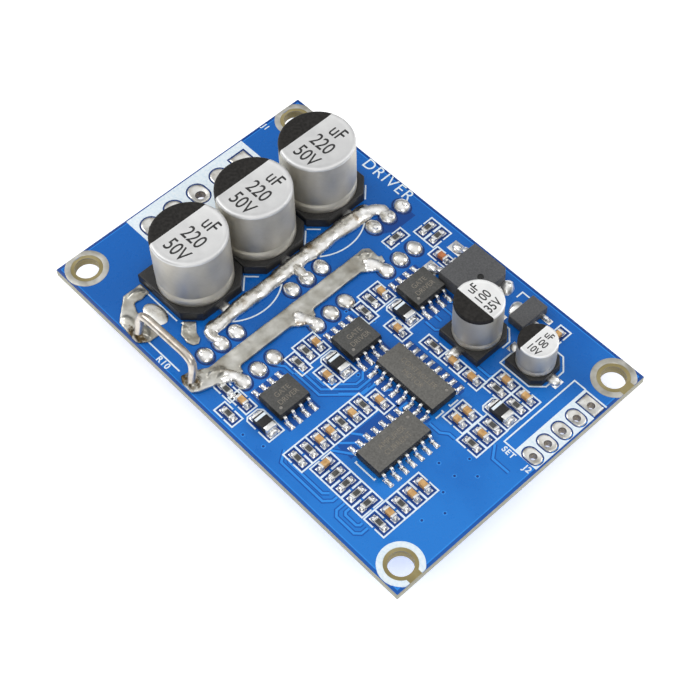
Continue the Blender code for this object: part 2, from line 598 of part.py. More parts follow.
MASK_BLUE = make_material("mask_blue", (0.01, 0.13, 0.55), 0.3)
PACKAGE_BLACK = make_material("package_black", (0.02, 0.02, 0.02), 0.45)
CHIP_BLACK = make_material("chip_black", (0.03, 0.028, 0.026), 0.55)
BASE_BLACK = make_material("base_black", (0.015, 0.015, 0.015), 0.4)
CAN_ALUMINIUM = make_material("can_aluminium", (0.75, 0.75, 0.74), 0.32, 1.0)
WINDING_BROWN = make_material("winding_brown", (0.35, 0.22, 0.1), 0.7)
TINNED = make_material("tinned", (0.72, 0.7, 0.66), 0.3, 1.0)
SOLDER = make_material("solder", (0.8, 0.79, 0.76), 0.18, 1.0)
CHIP_TAN = make_material("chip_tan", (0.55, 0.33, 0.15), 0.5)
CHIP_GREY = make_material("chip_grey", (0.08, 0.08, 0.08), 0.4)

make_board()
for place, middle in zip(("far", "middle", "near"), HIGH_ROW_Y):
    make_power_transistor(f"high_side_transistor_{place}", (HIGH_ROW_X, middle), 0)
for place, middle in zip(("far", "middle", "near"), LOW_ROW_Y):
    make_power_transistor(f"low_side_transistor_{place}", (LOW_ROW_X, middle), 180)
for capacitor in CAPACITORS:
    make_capacitor(*capacitor)
for chip in SMALL_OUTLINES:
    make_small_outline(*chip)
make_large_regulator()
make_small_regulator()
for diode in DIODES:
    make_diode(*diode)
for node, chips in LYING_CHIPS.items():
    make_chips(node, chips, standing=False)
for node, chips in STANDING_CHIPS.items():
    make_chips(node, chips, standing=True)
make_shunt()
make_supply_track()
make_return_bar()
make_lands()
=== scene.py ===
# %% [markdown]
# # A motor driver board
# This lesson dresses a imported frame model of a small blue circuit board. The frame gives every part its
# true place and size. Each step below builds one kind of part in full detail and gives it a finish made
# of shader nodes, and then the detailed piece stands in for the plain one.

# %% Load the frame model
import json
import math

import bmesh
import bpy
from mathutils import Matrix, Vector, noise

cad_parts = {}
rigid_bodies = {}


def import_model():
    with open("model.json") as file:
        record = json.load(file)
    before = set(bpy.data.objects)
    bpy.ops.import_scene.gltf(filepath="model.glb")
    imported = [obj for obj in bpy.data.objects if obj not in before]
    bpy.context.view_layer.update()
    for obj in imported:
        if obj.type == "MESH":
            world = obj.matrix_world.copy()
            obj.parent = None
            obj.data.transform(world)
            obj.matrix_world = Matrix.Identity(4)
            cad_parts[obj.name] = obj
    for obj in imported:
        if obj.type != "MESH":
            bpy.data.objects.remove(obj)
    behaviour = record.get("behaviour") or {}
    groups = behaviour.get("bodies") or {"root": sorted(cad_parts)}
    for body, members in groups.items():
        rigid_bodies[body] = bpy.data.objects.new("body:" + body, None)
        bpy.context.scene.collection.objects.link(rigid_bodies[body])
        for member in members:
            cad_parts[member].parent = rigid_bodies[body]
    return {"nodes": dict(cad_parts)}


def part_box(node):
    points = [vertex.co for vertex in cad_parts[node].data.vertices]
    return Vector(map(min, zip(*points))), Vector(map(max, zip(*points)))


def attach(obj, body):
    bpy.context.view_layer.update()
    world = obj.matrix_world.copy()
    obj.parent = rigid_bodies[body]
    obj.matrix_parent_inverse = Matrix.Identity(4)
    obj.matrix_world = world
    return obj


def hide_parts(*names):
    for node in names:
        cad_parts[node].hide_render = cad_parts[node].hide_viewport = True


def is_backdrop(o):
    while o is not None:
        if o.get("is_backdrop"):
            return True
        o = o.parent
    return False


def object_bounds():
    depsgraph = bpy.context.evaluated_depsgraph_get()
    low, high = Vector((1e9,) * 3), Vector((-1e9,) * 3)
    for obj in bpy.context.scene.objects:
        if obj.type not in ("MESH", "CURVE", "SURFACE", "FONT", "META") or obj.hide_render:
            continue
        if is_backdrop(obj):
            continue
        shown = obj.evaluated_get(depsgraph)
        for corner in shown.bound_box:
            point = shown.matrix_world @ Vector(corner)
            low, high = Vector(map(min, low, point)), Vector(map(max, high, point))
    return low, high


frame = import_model()
cad_low, cad_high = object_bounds()
print("frame model, metres:", [round(side, 4) for side in cad_high - cad_low])

# %% [markdown]
# ## Measuring from the board
# Everything on a circuit board is placed from one corner of its upper face, in millimetres, so this
# lesson does the same. `measured` reads a frame part's lowest and highest corner in that system, and
# lengths turn into metres only when a mesh is finished.

# %% The board's corner as the origin
MM = 0.001
board_low, board_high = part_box("circuit_board")
CORNER = Vector((board_low.x, board_low.y, board_high.z))


def measured(node):
    """The lowest and highest corner of a frame part, in board millimetres."""
    low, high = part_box(node)
    return (low - CORNER) / MM, (high - CORNER) / MM


LENGTH, WIDTH, _ = measured("circuit_board")[1]
THICKNESS = -measured("circuit_board")[0].z
print(f"board {LENGTH:.1f} x {WIDTH:.1f} x {THICKNESS:.1f} mm")

# %% [markdown]
# ## Camera, floor and light
# A long lens from above one corner shows the whole board with little perspective. The floor is plain and
# pale, and it lies where the metal tabs under the board rest. Bare solder shows whatever is around it, so
# three large soft lamps with dark gaps between them give it both bright and dark streaks. The floor needs
# a finish already, so the helpers that wire up shader nodes come first.

# %% Camera
camera_data = bpy.data.cameras.new("camera")
camera_data.sensor_width = 36
camera_data.lens = 82.72
camera_data.clip_start, camera_data.clip_end = 0.01, 10
camera = bpy.data.objects.new("camera", camera_data)
camera.location = (0.08564, -0.07499, 0.17240)
camera.rotation_euler = [math.radians(angle) for angle in (33.352, 1.046, 46.790)]
bpy.context.scene.collection.objects.link(camera)
bpy.context.scene.camera = camera
bpy.context.scene.view_settings.view_transform = "Standard"
print("camera is", round(camera.location.length / MM), "mm from the origin")

# %% Helpers for shader nodes
def new_finish(name, metallic=0.0, roughness=0.5, **sockets):
    """A material whose constant values sit on the shader's own sockets."""
    finish = bpy.data.materials.new(name)
    finish.use_nodes = True
    shader = finish.node_tree.nodes["Principled BSDF"]
    shader.inputs["Metallic"].default_value = metallic
    shader.inputs["Roughness"].default_value = roughness
    for socket, value in sockets.items():
        shader.inputs[socket.replace("_", " ")].default_value = value
    return finish


def add_node(finish, kind, **values):
    """A node. A plain value goes on its setting or input, and another node's output is wired in."""
    node = finish.node_tree.nodes.new("ShaderNode" + kind)
    for name, value in values.items():
        if name.startswith("in_"):
            socket = node.inputs[int(name[3:])]
        elif name.replace("_", " ") in node.inputs:
            socket = node.inputs[name.replace("_", " ")]
        else:
            setattr(node, name, value)
            continue
        if isinstance(value, bpy.types.NodeSocket):
            finish.node_tree.links.new(value, socket)
        else:
            socket.default_value = value
    return node


def wire(finish, output, socket):
    """Wires an output into one of the shader's sockets."""
    finish.node_tree.links.new(output, finish.node_tree.nodes["Principled BSDF"].inputs[socket])


def millimetres(finish, stretch=(1, 1, 1)):
    """The piece's own coordinates in millimetres, squeezed or stretched along each axis."""
    own = add_node(finish, "TexCoord").outputs["Object"]
    scale = [1 / MM / each for each in stretch]
    return add_node(finish, "VectorMath", operation="MULTIPLY", in_0=own, in_1=scale).outputs[0]


def speckle(finish, size, detail=3.0, stretch=(1, 1, 1)):
    """Noise from 0 to 1 with lumps of about this many millimetres."""
    made = add_node(finish, "TexNoise", Vector=millimetres(finish, stretch), Scale=1 / size, Detail=detail)
    return made.outputs["Fac"]


def ramp(finish, factor, *stops):
    """A colour ramp: stops are (position, (red, green, blue))."""
    made = add_node(finish, "ValToRGB", Fac=factor)
    points = made.color_ramp.elements
    while len(points) < len(stops):
        points.new(0.5)
    for point, (position, colour) in zip(points, stops):
        point.position = position
        point.color = (*colour, 1)
    return made.outputs["Color"]


def spread(finish, factor, low, high):
    """Noise, which mostly stays between 0.3 and 0.7, spread over a range of its own."""
    made = add_node(finish, "MapRange", Value=factor, From_Min=0.3, From_Max=0.7, To_Min=low, To_Max=high)
    return made.outputs["Result"]


def maths(finish, operation, *values):
    """One step of arithmetic on numbers and outputs."""
    inputs = {f"in_{index}": value for index, value in enumerate(values)}
    return add_node(finish, "Math", operation=operation, **inputs).outputs[0]


def mixed(finish, share, first, second):
    """The second colour laid over the first, by a share from 0 to 1."""
    return add_node(finish, "Mix", data_type="RGBA", in_0=share, in_6=first, in_7=second).outputs[2]


def raise_surface(finish, heights, depth, strength=1.0):
    """Bumps from noise, this many millimetres deep."""
    made = add_node(finish, "Bump", Height=heights, Distance=depth * MM, Strength=strength)
    wire(finish, made.outputs["Normal"], "Normal")


def noisy_finish(name, colour, rough=None, bumps=None, **settings):
    """A finish whose colour, roughness and bumps each follow a noise of their own.

    Each begins with its noise as (size, detail, stretch), where the last two may be left out. Then come
    the colour's stops, the lowest and highest roughness, or the bumps' depth and strength.
    """
    finish = new_finish(name, **settings)
    noise_size, *stops = colour
    wire(finish, ramp(finish, speckle(finish, *noise_size), *stops), "Base Color")
    if rough:
        noise_size, low, high = rough
        wire(finish, spread(finish, speckle(finish, *noise_size), low, high), "Roughness")
    if bumps:
        noise_size, depth, strength = bumps
        raise_surface(finish, speckle(finish, *noise_size), depth, strength)
    return finish


print("node helpers ready")

# %% Floor
floor_finish = new_finish("pale_floor", roughness=0.9)
floor_tone = ramp(floor_finish, speckle(floor_finish, 40.0), (0.3, (0.9, 0.9, 0.9)),
                  (0.7, (0.92, 0.92, 0.92)))
wire(floor_finish, floor_tone, "Base Color")
wire(floor_finish, floor_tone, "Emission Color")
floor_finish.node_tree.nodes["Principled BSDF"].inputs["Emission Strength"].default_value = 0.5
floor_mesh = bpy.data.meshes.new("floor")
FLOOR_REACH = 3.0  # metres to each side, so that no view finds its edge near the board
level = cad_low.z
floor_mesh.from_pydata([(x * FLOOR_REACH, y * FLOOR_REACH, level)
                        for x, y in ((-1, -1), (1, -1), (1, 1), (-1, 1))], [], [(0, 1, 2, 3)])
floor_mesh.materials.append(floor_finish)
floor = bpy.data.objects.new("floor", floor_mesh)
bpy.context.scene.collection.objects.link(floor)
floor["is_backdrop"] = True
print("floor at", round(level / MM, 2), "mm")

# %% Lamps and surroundings
SOFTBOXES = {"left_softbox": ((-0.42, -0.16, 0.38), 1.05), "right_softbox": ((0.38, -0.36, 0.34), 0.75),
             "back_softbox": ((0.20, 0.46, 0.36), 0.8)}
for name, (place, power) in SOFTBOXES.items():
    lamp = bpy.data.lights.new(name, "AREA")
    lamp.shape, lamp.size, lamp.energy = "SQUARE", 0.30, power
    holder = bpy.data.objects.new(name, lamp)
    holder.location = place
    holder.rotation_euler = Vector(place).to_track_quat("Z", "Y").to_euler()
    bpy.context.scene.collection.objects.link(holder)
world = bpy.data.worlds.new("studio")
world.use_nodes = True
tree = world.node_tree
direction = tree.nodes.new("ShaderNodeTexCoord").outputs["Generated"]
height = tree.nodes.new("ShaderNodeSeparateXYZ")
sky = tree.nodes.new("ShaderNodeValToRGB")
tree.links.new(direction, height.inputs[0])
tree.links.new(height.outputs["Z"], sky.inputs["Fac"])
for stop, (position, grey) in zip((*sky.color_ramp.elements, sky.color_ramp.elements.new(0.5)),
                                  ((0.05, 0.12), (0.85, 0.52), (0.4, 0.24))):
    stop.position = position
    stop.color = (grey * 0.97, grey * 0.99, grey, 1)
tree.links.new(sky.outputs["Color"], tree.nodes["Background"].inputs["Color"])
bpy.context.scene.world = world
print(len(SOFTBOXES), "softboxes")

# %% [markdown]
# ## Tools for shapes
# Small electronic parts are boxes with softened edges, turned cans, bent strips and blobs of solder. Each
# helper makes one such shape as a bmesh in millimetres. `add_to` collects shapes, and `add_piece` turns
# the collection into an object in metres that rides on the frame and stands in for its plain part.

# %% Pieces from collected shapes
def tinted(shape, finish):
    """The shape with every face given one of the piece's finishes."""
    for face in shape.faces:
        face.material_index = finish
    return shape


def add_to(target, shape, x=0, y=0, z=0, turn=0, matrix=None):
    """Moves a shape into a collected one."""
    mesh = bpy.data.meshes.new("shape")
    shape.to_mesh(mesh)
    shape.free()
    mesh.transform(matrix or Matrix.Translation((x, y, z)) @ Matrix.Rotation(math.radians(turn), 4, "Z"))
    target.from_mesh(mesh)
    bpy.data.meshes.remove(mesh)


def add_piece(name, shape, finishes, stands_for=(), x=0, y=0, turn=0, sharp=32):
    """A finished piece, in metres, at a place on the board."""
    bmesh.ops.recalc_face_normals(shape, faces=shape.faces)
    mesh = bpy.data.meshes.new(name)
    shape.to_mesh(mesh)
    shape.free()
    mesh.transform(Matrix.Scale(MM, 4))
    for finish in finishes:
        mesh.materials.append(finish)
    mesh.shade_smooth()
    mesh.set_sharp_from_angle(angle=math.radians(sharp))
    piece = bpy.data.objects.new(name, mesh)
    piece.location = CORNER + Vector((x, y, 0)) * MM
    piece.rotation_euler.z = math.radians(turn)
    bpy.context.scene.collection.objects.link(piece)
    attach(piece, "root")
    if stands_for:
        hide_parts(*stands_for)
    return piece


print("piece helpers ready")

# %% Boxes, slabs and turned shapes
def block(low, high, edge=0.0, finish=0, segments=2):
    """A box between two corners with softened edges."""
    shape = bmesh.new()
    low, high = Vector(low), Vector(high)
    size = Matrix.Diagonal((*(high - low), 1))
    bmesh.ops.create_cube(shape, size=1, matrix=Matrix.Translation((low + high) / 2) @ size)
    if edge:
        bmesh.ops.bevel(shape, geom=shape.edges[:], offset=edge, segments=segments, profile=0.5,
                        affect="EDGES")
    return tinted(shape, finish)


def slab(outline, bottom, top, edge=0.0, finish=0, segments=2):
    """An outline given counterclockwise, as a plate with a softened upper edge."""
    shape = bmesh.new()
    face = shape.faces.new([shape.verts.new((x, y, bottom)) for x, y in outline])
    raised = bmesh.ops.extrude_face_region(shape, geom=[face])["geom"]
    upper = [item for item in raised if isinstance(item, bmesh.types.BMVert)]
    bmesh.ops.translate(shape, verts=upper, vec=(0, 0, top - bottom))
    if edge:
        rim = [each for each in shape.edges if all(v.co.z > (bottom + top) / 2 for v in each.verts)]
        bmesh.ops.bevel(shape, geom=rim, offset=edge, segments=segments, profile=0.5, affect="EDGES")
    return tinted(shape, finish)


def rectangle(half_length, half_width):
    """The four corners of a rectangle about the origin, counterclockwise."""
    return [(x * half_length, y * half_width) for x, y in ((-1, -1), (1, -1), (1, 1), (-1, 1))]


def skin(shape, rings):
    """Faces between closed rings of vertices, all with the same count."""
    faces = []
    for here, there in zip(rings, rings[1:]):
        for index in range(len(here)):
            following = (index + 1) % len(here)
            faces.append(shape.faces.new((here[index], here[following], there[following], there[index])))
    return faces


def turned(profile, steps=64, finish=0, centre=(0, 0)):
    """A profile of (radius, height) points turned about the upright axis."""
    shape = bmesh.new()
    rings = []
    for radius, height in profile:
        if radius == 0:
            rings.append([shape.verts.new((*centre, height))])
            continue
        angles = [2 * math.pi * step / steps for step in range(steps)]
        rings.append([shape.verts.new((centre[0] + radius * math.cos(a), centre[1] + radius * math.sin(a),
                                       height)) for a in angles])
    for lower, upper in zip(rings, rings[1:]):
        for step in range(steps):
            following = (step + 1) % steps
            corners = [lower[step % len(lower)], lower[following % len(lower)],
                       upper[following % len(upper)], upper[step % len(upper)]]
            shape.faces.new(list(dict.fromkeys(corners)))
    return tinted(shape, finish)


def peg(start, end, radius, end_radius=None, steps=48, finish=0, centre=(0, 0)):
    """An upright pin between two heights, or a cone if its other end has a radius of its own."""
    other = radius if end_radius is None else end_radius
    return turned([(0, start), (radius, start), (other, end), (0, end)], steps, finish, centre)


def circle(radius, steps=48, centre=(0, 0), start=0.0, end=360.0):
    """Points on a circle, or on an arc of it."""
    whole = abs(end - start) >= 360
    count = steps if whole else steps + 1
    turns = [math.radians(start + (end - start) * index / steps) for index in range(count)]
    return [(centre[0] + radius * math.cos(turn), centre[1] + radius * math.sin(turn)) for turn in turns]


def held(shape):
    """The shape as an object in the scene, so that modifiers can work on it."""
    mesh = bpy.data.meshes.new("held")
    shape.to_mesh(mesh)
    shape.free()
    holder = bpy.data.objects.new("held", mesh)
    bpy.context.scene.collection.objects.link(holder)
    return holder


def worked(holder, *tools):
    """What the modifiers have made of it, as a bmesh again."""
    bpy.context.view_layer.update()
    result = bmesh.new()
    result.from_object(holder, bpy.context.evaluated_depsgraph_get())
    for each in (holder, *tools):
        bpy.data.objects.remove(each)
    return result


def carved(solid, cutter):
    """The solid with the cutter's shape taken away."""
    for shape in (solid, cutter):
        bmesh.ops.recalc_face_normals(shape, faces=shape.faces)
    body, tool = held(solid), held(cutter)
    body.modifiers.new("cut", "BOOLEAN").object = tool
    return worked(body, tool)


print("shape helpers ready")

# %% Bent strips and wires
def rounded(points, radius, steps=4):
    """A path whose corners have become bends."""
    made = [Vector(points[0])]
    for before, corner, after in zip(points, points[1:], points[2:]):
        before, corner, after = Vector(before), Vector(corner), Vector(after)
        into, out = before - corner, after - corner
        start = corner + into.normalized() * min(radius, into.length * 0.48)
        end = corner + out.normalized() * min(radius, out.length * 0.48)
        for step in range(steps + 1):
            t = step / steps
            made.append(start * (1 - t) ** 2 + corner * 2 * t * (1 - t) + end * t * t)
    return made + [Vector(points[-1])]


def swept(path, section, across, finish=0):
    """A section carried along a path. Its first number runs along `across`."""
    shape = bmesh.new()
    across = Vector(across).normalized()
    rings = []
    for index, point in enumerate(path):
        ahead = (path[min(index + 1, len(path) - 1)] - path[max(index - 1, 0)]).normalized()
        up = ahead.cross(across).normalized()
        side = up.cross(ahead).normalized()
        rings.append([shape.verts.new(point + side * u + up * v) for u, v in section])
    skin(shape, rings)
    shape.faces.new(rings[0][::-1])
    shape.faces.new(rings[-1])
    return tinted(shape, finish)


def strip_section(width, thickness, edge=0.04):
    """The section of a stamped strip: a rectangle with cut corners."""
    w, t = width / 2, thickness / 2
    return [(-w + edge, -t), (w - edge, -t), (w, -t + edge), (w, t - edge),
            (w - edge, t), (-w + edge, t), (-w, t - edge), (-w, -t + edge)]


print("strip helpers ready")

# %% [markdown]
# ## Solder as a shape
# Molten solder pulls itself smooth and freezes that way, with small dents and ridges. A single joint is a
# dome whose radius wanders a little. A long bead is several rough shapes melted into one: a voxel remesh
# joins them, smoothing rounds them off, and noise leaves the skin uneven.

# %% Solder shapes
def mound(radii, height, seed=0, fullness=0.5, lumps=0.08, finish=0, rings=7, steps=20):
    """A dome of solder. Fullness 0.5 is a round drop, and above 1 its foot runs out thin."""
    shape = bmesh.new()
    top = shape.verts.new((0, 0, height))
    previous = None
    for ring in range(1, rings + 1):
        share = math.sin(ring / rings * math.pi / 2)
        current = []
        for step in range(steps):
            angle = 2 * math.pi * step / steps
            x, y = math.cos(angle), math.sin(angle)
            wander = 1 + lumps * noise.noise(Vector((x * 1.1 + seed * 7.3, y * 1.1, share)))
            fall = max(0.0, 1 - share * share) ** fullness
            dent = 1 + lumps * noise.noise(Vector((x * share * 1.6, y * share * 1.6 + seed * 3.1, 5)))
            current.append(shape.verts.new((x * share * radii[0] * wander, y * share * radii[1] * wander,
                                            height * fall * dent if ring < rings else 0)))
        for step in range(steps):
            following = (step + 1) % steps
            if previous is None:
                shape.faces.new((top, current[step], current[following]))
            else:
                shape.faces.new((previous[step], current[step], current[following], previous[following]))
        previous = current
    shape.faces.new(previous[::-1])
    return tinted(shape, finish)


def melted(shape, voxel=0.14, smoothing=6, ripple=0.06, ripple_size=0.9, seed=0):
    """Rough shapes flowed together, with a gently uneven skin."""
    holder = held(shape)
    remesh = holder.modifiers.new("join", "REMESH")
    remesh.mode = "VOXEL"
    remesh.voxel_size = voxel
    holder.modifiers.new("round", "SMOOTH").iterations = smoothing
    result = worked(holder)
    result.normal_update()
    for vertex in result.verts:
        where = vertex.co / ripple_size + Vector((seed * 5.7, 0, 0))
        vertex.co += vertex.normal * ripple * (noise.noise(where) + 0.5 * noise.noise(where * 2.3))
        vertex.co.z = max(vertex.co.z, 0.0)
    return result


print("solder helpers ready")

# %% [markdown]
# ## The finishes of metal
# Tinned copper is pale and slightly clouded, fresh solder is nearly a mirror with soft dents, and rolled
# aluminium is satin with a fine grain. In each one the colour, the roughness and the bumps follow noise
# of a different size, because real metal never shines evenly.

# %% Metal finishes
SOLDER = noisy_finish("bright_solder", ((1.6, 3), (0.28, (0.42, 0.34, 0.25)), (0.4, (0.84, 0.82, 0.78)),
                                        (0.65, (0.97, 0.965, 0.955))), ((0.9,), 0.2, 0.36),
                      ((1.7, 1), 0.04, 0.3), metallic=1.0)
FRESH_SOLDER = noisy_finish("fresh_solder", ((0.9, 3), (0.3, (0.78, 0.77, 0.74)), (0.6, (0.98, 0.98, 0.97))),
                            ((0.5,), 0.26, 0.42), ((0.8, 1), 0.03, 0.3), metallic=1.0)
STAIN_REACH, STAIN_RAGGEDNESS = 1.1, 2.4  # how far burnt flux runs, and how unevenly


def tinned_finish(name, stains=()):
    """Tinned copper. Burnt flux may have browned it round a few places."""
    finish = new_finish(name, metallic=1.0)
    colour = ramp(finish, speckle(finish, 2.2, 5), (0.32, (0.38, 0.36, 0.31)), (0.5, (0.56, 0.55, 0.5)),
                  (0.7, (0.76, 0.75, 0.71)))
    clear = STAIN_RAGGEDNESS / 2 + STAIN_REACH
    dark = STAIN_RAGGEDNESS / 2 + STAIN_REACH * 0.4
    for place in stains:
        away = add_node(finish, "VectorMath", operation="DISTANCE", in_0=millimetres(finish), in_1=place)
        ragged = maths(finish, "MULTIPLY_ADD", speckle(finish, 0.5, 4), STAIN_RAGGEDNESS,
                       away.outputs["Value"])
        burnt = add_node(finish, "MapRange", Value=ragged, From_Min=clear, From_Max=dark)
        colour = mixed(finish, burnt.outputs[0], colour, (0.1, 0.07, 0.035, 1))
    wire(finish, colour, "Base Color")
    wire(finish, spread(finish, speckle(finish, 0.8, 4), 0.28, 0.5), "Roughness")
    raise_surface(finish, speckle(finish, 0.9, 3), 0.05, 0.4)
    return finish


TINNED = tinned_finish("tinned_copper")
TINNED_SHUNT_LAND = tinned_finish("tinned_shunt_land", [(16.4, 0.8, 0.8), (14.6, 0.8, 0.5)])
TINNED_BAR = tinned_finish("tinned_bar", [(25.9, 1.6, 1.0), (24.3, 3.2, 0.6), (24.4, 0.9, 0.6)])

PLATED = noisy_finish("plated_lead", ((0.5,), (0.3, (0.86, 0.86, 0.84)), (0.7, (0.98, 0.98, 0.98))),
                      ((0.25,), 0.24, 0.42), ((0.2,), 0.02, 0.4), metallic=1.0)
print("solder, fresh solder, tinned copper and plated leads")

# %% [markdown]
# ## The board itself
# The board is glass cloth and resin, covered on both faces by a glossy blue lacquer, the solder mask. Its
# edges and its screw holes show the bare, olive-coloured laminate, layer on layer. The plate is one box
# with the holes carved out. A face that looks up or down is lacquer, an outer edge is sawn laminate, and
# the wall of a hole is drilled laminate, which is darker.

# %% Mask and laminate finishes
def mask_finish(name, dark, light, roughness):
    """Blue lacquer, clouded and faintly rippled. A painted sheen makes it paler towards the signal end and
    the near edge.
    """
    finish = new_finish(name, roughness=roughness, Specular_IOR_Level=0.3)
    # Painted sheen: this slope lightens the lacquer towards the signal end and the near edge.
    slope = (0.6 / LENGTH, -0.4 / WIDTH, 0)
    along = add_node(finish, "VectorMath", operation="DOT_PRODUCT", in_0=millimetres(finish),
                     in_1=slope).outputs["Value"]
    share = maths(finish, "ADD", maths(finish, "MULTIPLY_ADD", speckle(finish, 6.0, 6), 0.5, 0.15), along)
    wire(finish, ramp(finish, share, (0.5, dark), (0.9, light)), "Base Color")
    wire(finish, spread(finish, speckle(finish, 1.5, 4), roughness - 0.06, roughness + 0.08), "Roughness")
    raise_surface(finish, speckle(finish, 0.6, 2), 0.012, 0.35)
    return finish


BARE_MASK = mask_finish("mask_over_laminate", (0.002, 0.06, 0.3), (0.004, 0.1, 0.44), 0.3)
POUR_MASK = mask_finish("mask_over_copper", (0.002, 0.125, 0.5), (0.013, 0.2, 0.67), 0.28)
TRACK_MASK = mask_finish("mask_over_track", (0.02, 0.24, 0.76), (0.03, 0.29, 0.84), 0.26)
NAVY_MASK = mask_finish("mask_in_gap", (0.004, 0.035, 0.18), (0.006, 0.05, 0.26), 0.34)

PRINT = noisy_finish("white_print", ((0.4, 4), (0.25, (0.66, 0.8, 0.92)), (0.5, (0.8, 0.9, 0.97)),
                                     (0.7, (0.88, 0.94, 0.98))), bumps=((0.12,), 0.01, 0.6), roughness=0.55)


def laminate_finish(name, dark, middle, light):
    """Glass cloth in resin, in thin layers one above another."""
    finish = new_finish(name)
    layers = speckle(finish, 0.5, 4, stretch=(8, 8, 0.35))
    wire(finish, ramp(finish, layers, (0.3, dark), (0.52, middle), (0.7, light)), "Base Color")
    wire(finish, spread(finish, layers, 0.45, 0.7), "Roughness")
    raise_surface(finish, layers, 0.03, 0.5)
    return finish


SAWN_EDGE = laminate_finish("sawn_edge", (0.27, 0.26, 0.19), (0.37, 0.36, 0.28), (0.47, 0.46, 0.38))
LAMINATE = laminate_finish("drilled_laminate", (0.2, 0.16, 0.055), (0.29, 0.235, 0.095), (0.38, 0.32, 0.16))
print("seven board finishes")

# %% Cut the plate and its holes
SCREW_HOLES = [(2.6, 3.0), (60.5, 3.0), (60.5, 39.2), (2.6, 39.2)]
SCREW_RADIUS = 1.6
POWER_X, POWER_Y, POWER_PITCH, POWER_RADIUS = 3.6, 21.3, 3.96, 0.7
SIGNAL_X, SIGNAL_Y, SIGNAL_PITCH, SIGNAL_RADIUS = 61.3, 29.15, 2.54, 0.5


def row_of(centre, pitch, count):
    """Evenly spaced places about a middle one."""
    return [centre + (index - (count - 1) / 2) * pitch for index in range(count)]


POWER_HOLES = [(POWER_X, y) for y in row_of(POWER_Y, POWER_PITCH, 5)]
SIGNAL_HOLES = [(SIGNAL_X, y) for y in row_of(SIGNAL_Y, SIGNAL_PITCH, 5)]


def pegs(low, high):
    """Upright pins for every hole in the board, as one cutter."""
    shape = bmesh.new()
    for places, radius in ((SCREW_HOLES, SCREW_RADIUS), (POWER_HOLES, POWER_RADIUS),
                           (SIGNAL_HOLES, SIGNAL_RADIUS)):
        for place in places:
            add_to(shape, peg(high, low, radius, centre=place))
    return shape


plate = carved(block((0, 0, -THICKNESS), (LENGTH, WIDTH, 0), 0.06), pegs(-THICKNESS - 1, 1))
plate.normal_update()
RIM = 0.5  # an upright face nearer to the outline than this is the sawn edge
for face in plate.faces:
    middle = face.calc_center_median()
    inside = RIM < middle.x < LENGTH - RIM and RIM < middle.y < WIDTH - RIM
    face.material_index = 0 if abs(face.normal.z) > 0.9 else 1 + inside
add_piece("board_plate", plate, [BARE_MASK, SAWN_EDGE, LAMINATE], ["circuit_board"])
print("plate with", len(SCREW_HOLES + POWER_HOLES + SIGNAL_HOLES), "holes")

# %% [markdown]
# ## Copper under the lacquer
# Copper makes the lacquer look lighter and stand a little proud, and gaps between copper areas read as
# dark lines. So a thin lighter plate, the pour, covers the board just inside its edges. Dark shapes on it
# are the places without copper, and thin raised strips are the tracks.

# %% The copper pour on both faces
EDGE_GAP = 0.4
POUR_LEVEL = 0.03


def pour(bottom, top):
    """A thin plate of copper with the board's holes in it."""
    low, high_x, high_y = EDGE_GAP, LENGTH - EDGE_GAP, WIDTH - EDGE_GAP
    plate = slab([(low, low), (high_x, low), (high_x, high_y), (low, high_y)], bottom, top)
    return carved(plate, pegs(-THICKNESS - 1, 1))


relief = pour(0.0, POUR_LEVEL)
add_to(relief, pour(-THICKNESS - POUR_LEVEL, -THICKNESS))
add_piece("copper_pour", relief, [POUR_MASK])
print("pour on both faces")

# %% Lines drawn on the board
lines_drawn = 0
LINE_LEVELS, LEVEL_STEP = 40, 0.0002


def inked(shape, path, width, level, closed=False, thickness=0.02, finish=0):
    """A flat line along a path, mitred at its corners.

    Lines that cross lie at slightly different levels, so that no two upper faces share a plane.
    """
    global lines_drawn
    lines_drawn += 1
    level += (lines_drawn % LINE_LEVELS) * LEVEL_STEP
    points = [Vector(point) for point in path]
    count = len(points)
    left, right = [], []
    for index, point in enumerate(points):
        before = points[index - 1] if index or closed else None
        after = points[(index + 1) % count] if index < count - 1 or closed else None
        into = (point - before).normalized() if before else (after - point).normalized()
        out = (after - point).normalized() if after else into
        along = (into + out).normalized()
        side = Vector((-along.y, along.x)) * width / 2 / max(along.dot(into), 0.5)
        left.append(point + side)
        right.append(point - side)
    low_left, low_right, high_left, high_right = [
        [shape.verts.new((*point, height)) for point in side]
        for height in (level, level + thickness) for side in (left, right)]
    faces = []
    for index in range(count if closed else count - 1):
        n = (index + 1) % count
        for a, b in ((high_left, high_right), (low_right, low_left), (low_left, high_left),
                     (high_right, low_right)):
            faces.append(shape.faces.new((a[index], b[index], b[n], a[n])))
    if not closed:
        for end in (0, -1):
            faces.append(shape.faces.new((low_left[end], low_right[end], high_right[end], high_left[end])))
    for face in faces:
        face.material_index = finish


print("line helper ready")

# %% Where the transistors' leads come up
TRANSISTORS = sorted(node for node in frame["nodes"] if "side_transistor" in node)
JOINT_INSET = 1.25  # from the row of joints to that end of the frame part
LEAD_SPACING = 2.54


def joints_of(node):
    """The middle one of a transistor's three solder joints."""
    low, high = measured(node)
    x = high.x - JOINT_INSET if node.startswith("high") else low.x + JOINT_INSET
    return x, (low.y + high.y) / 2


print(len(TRANSISTORS), "transistors under the board")

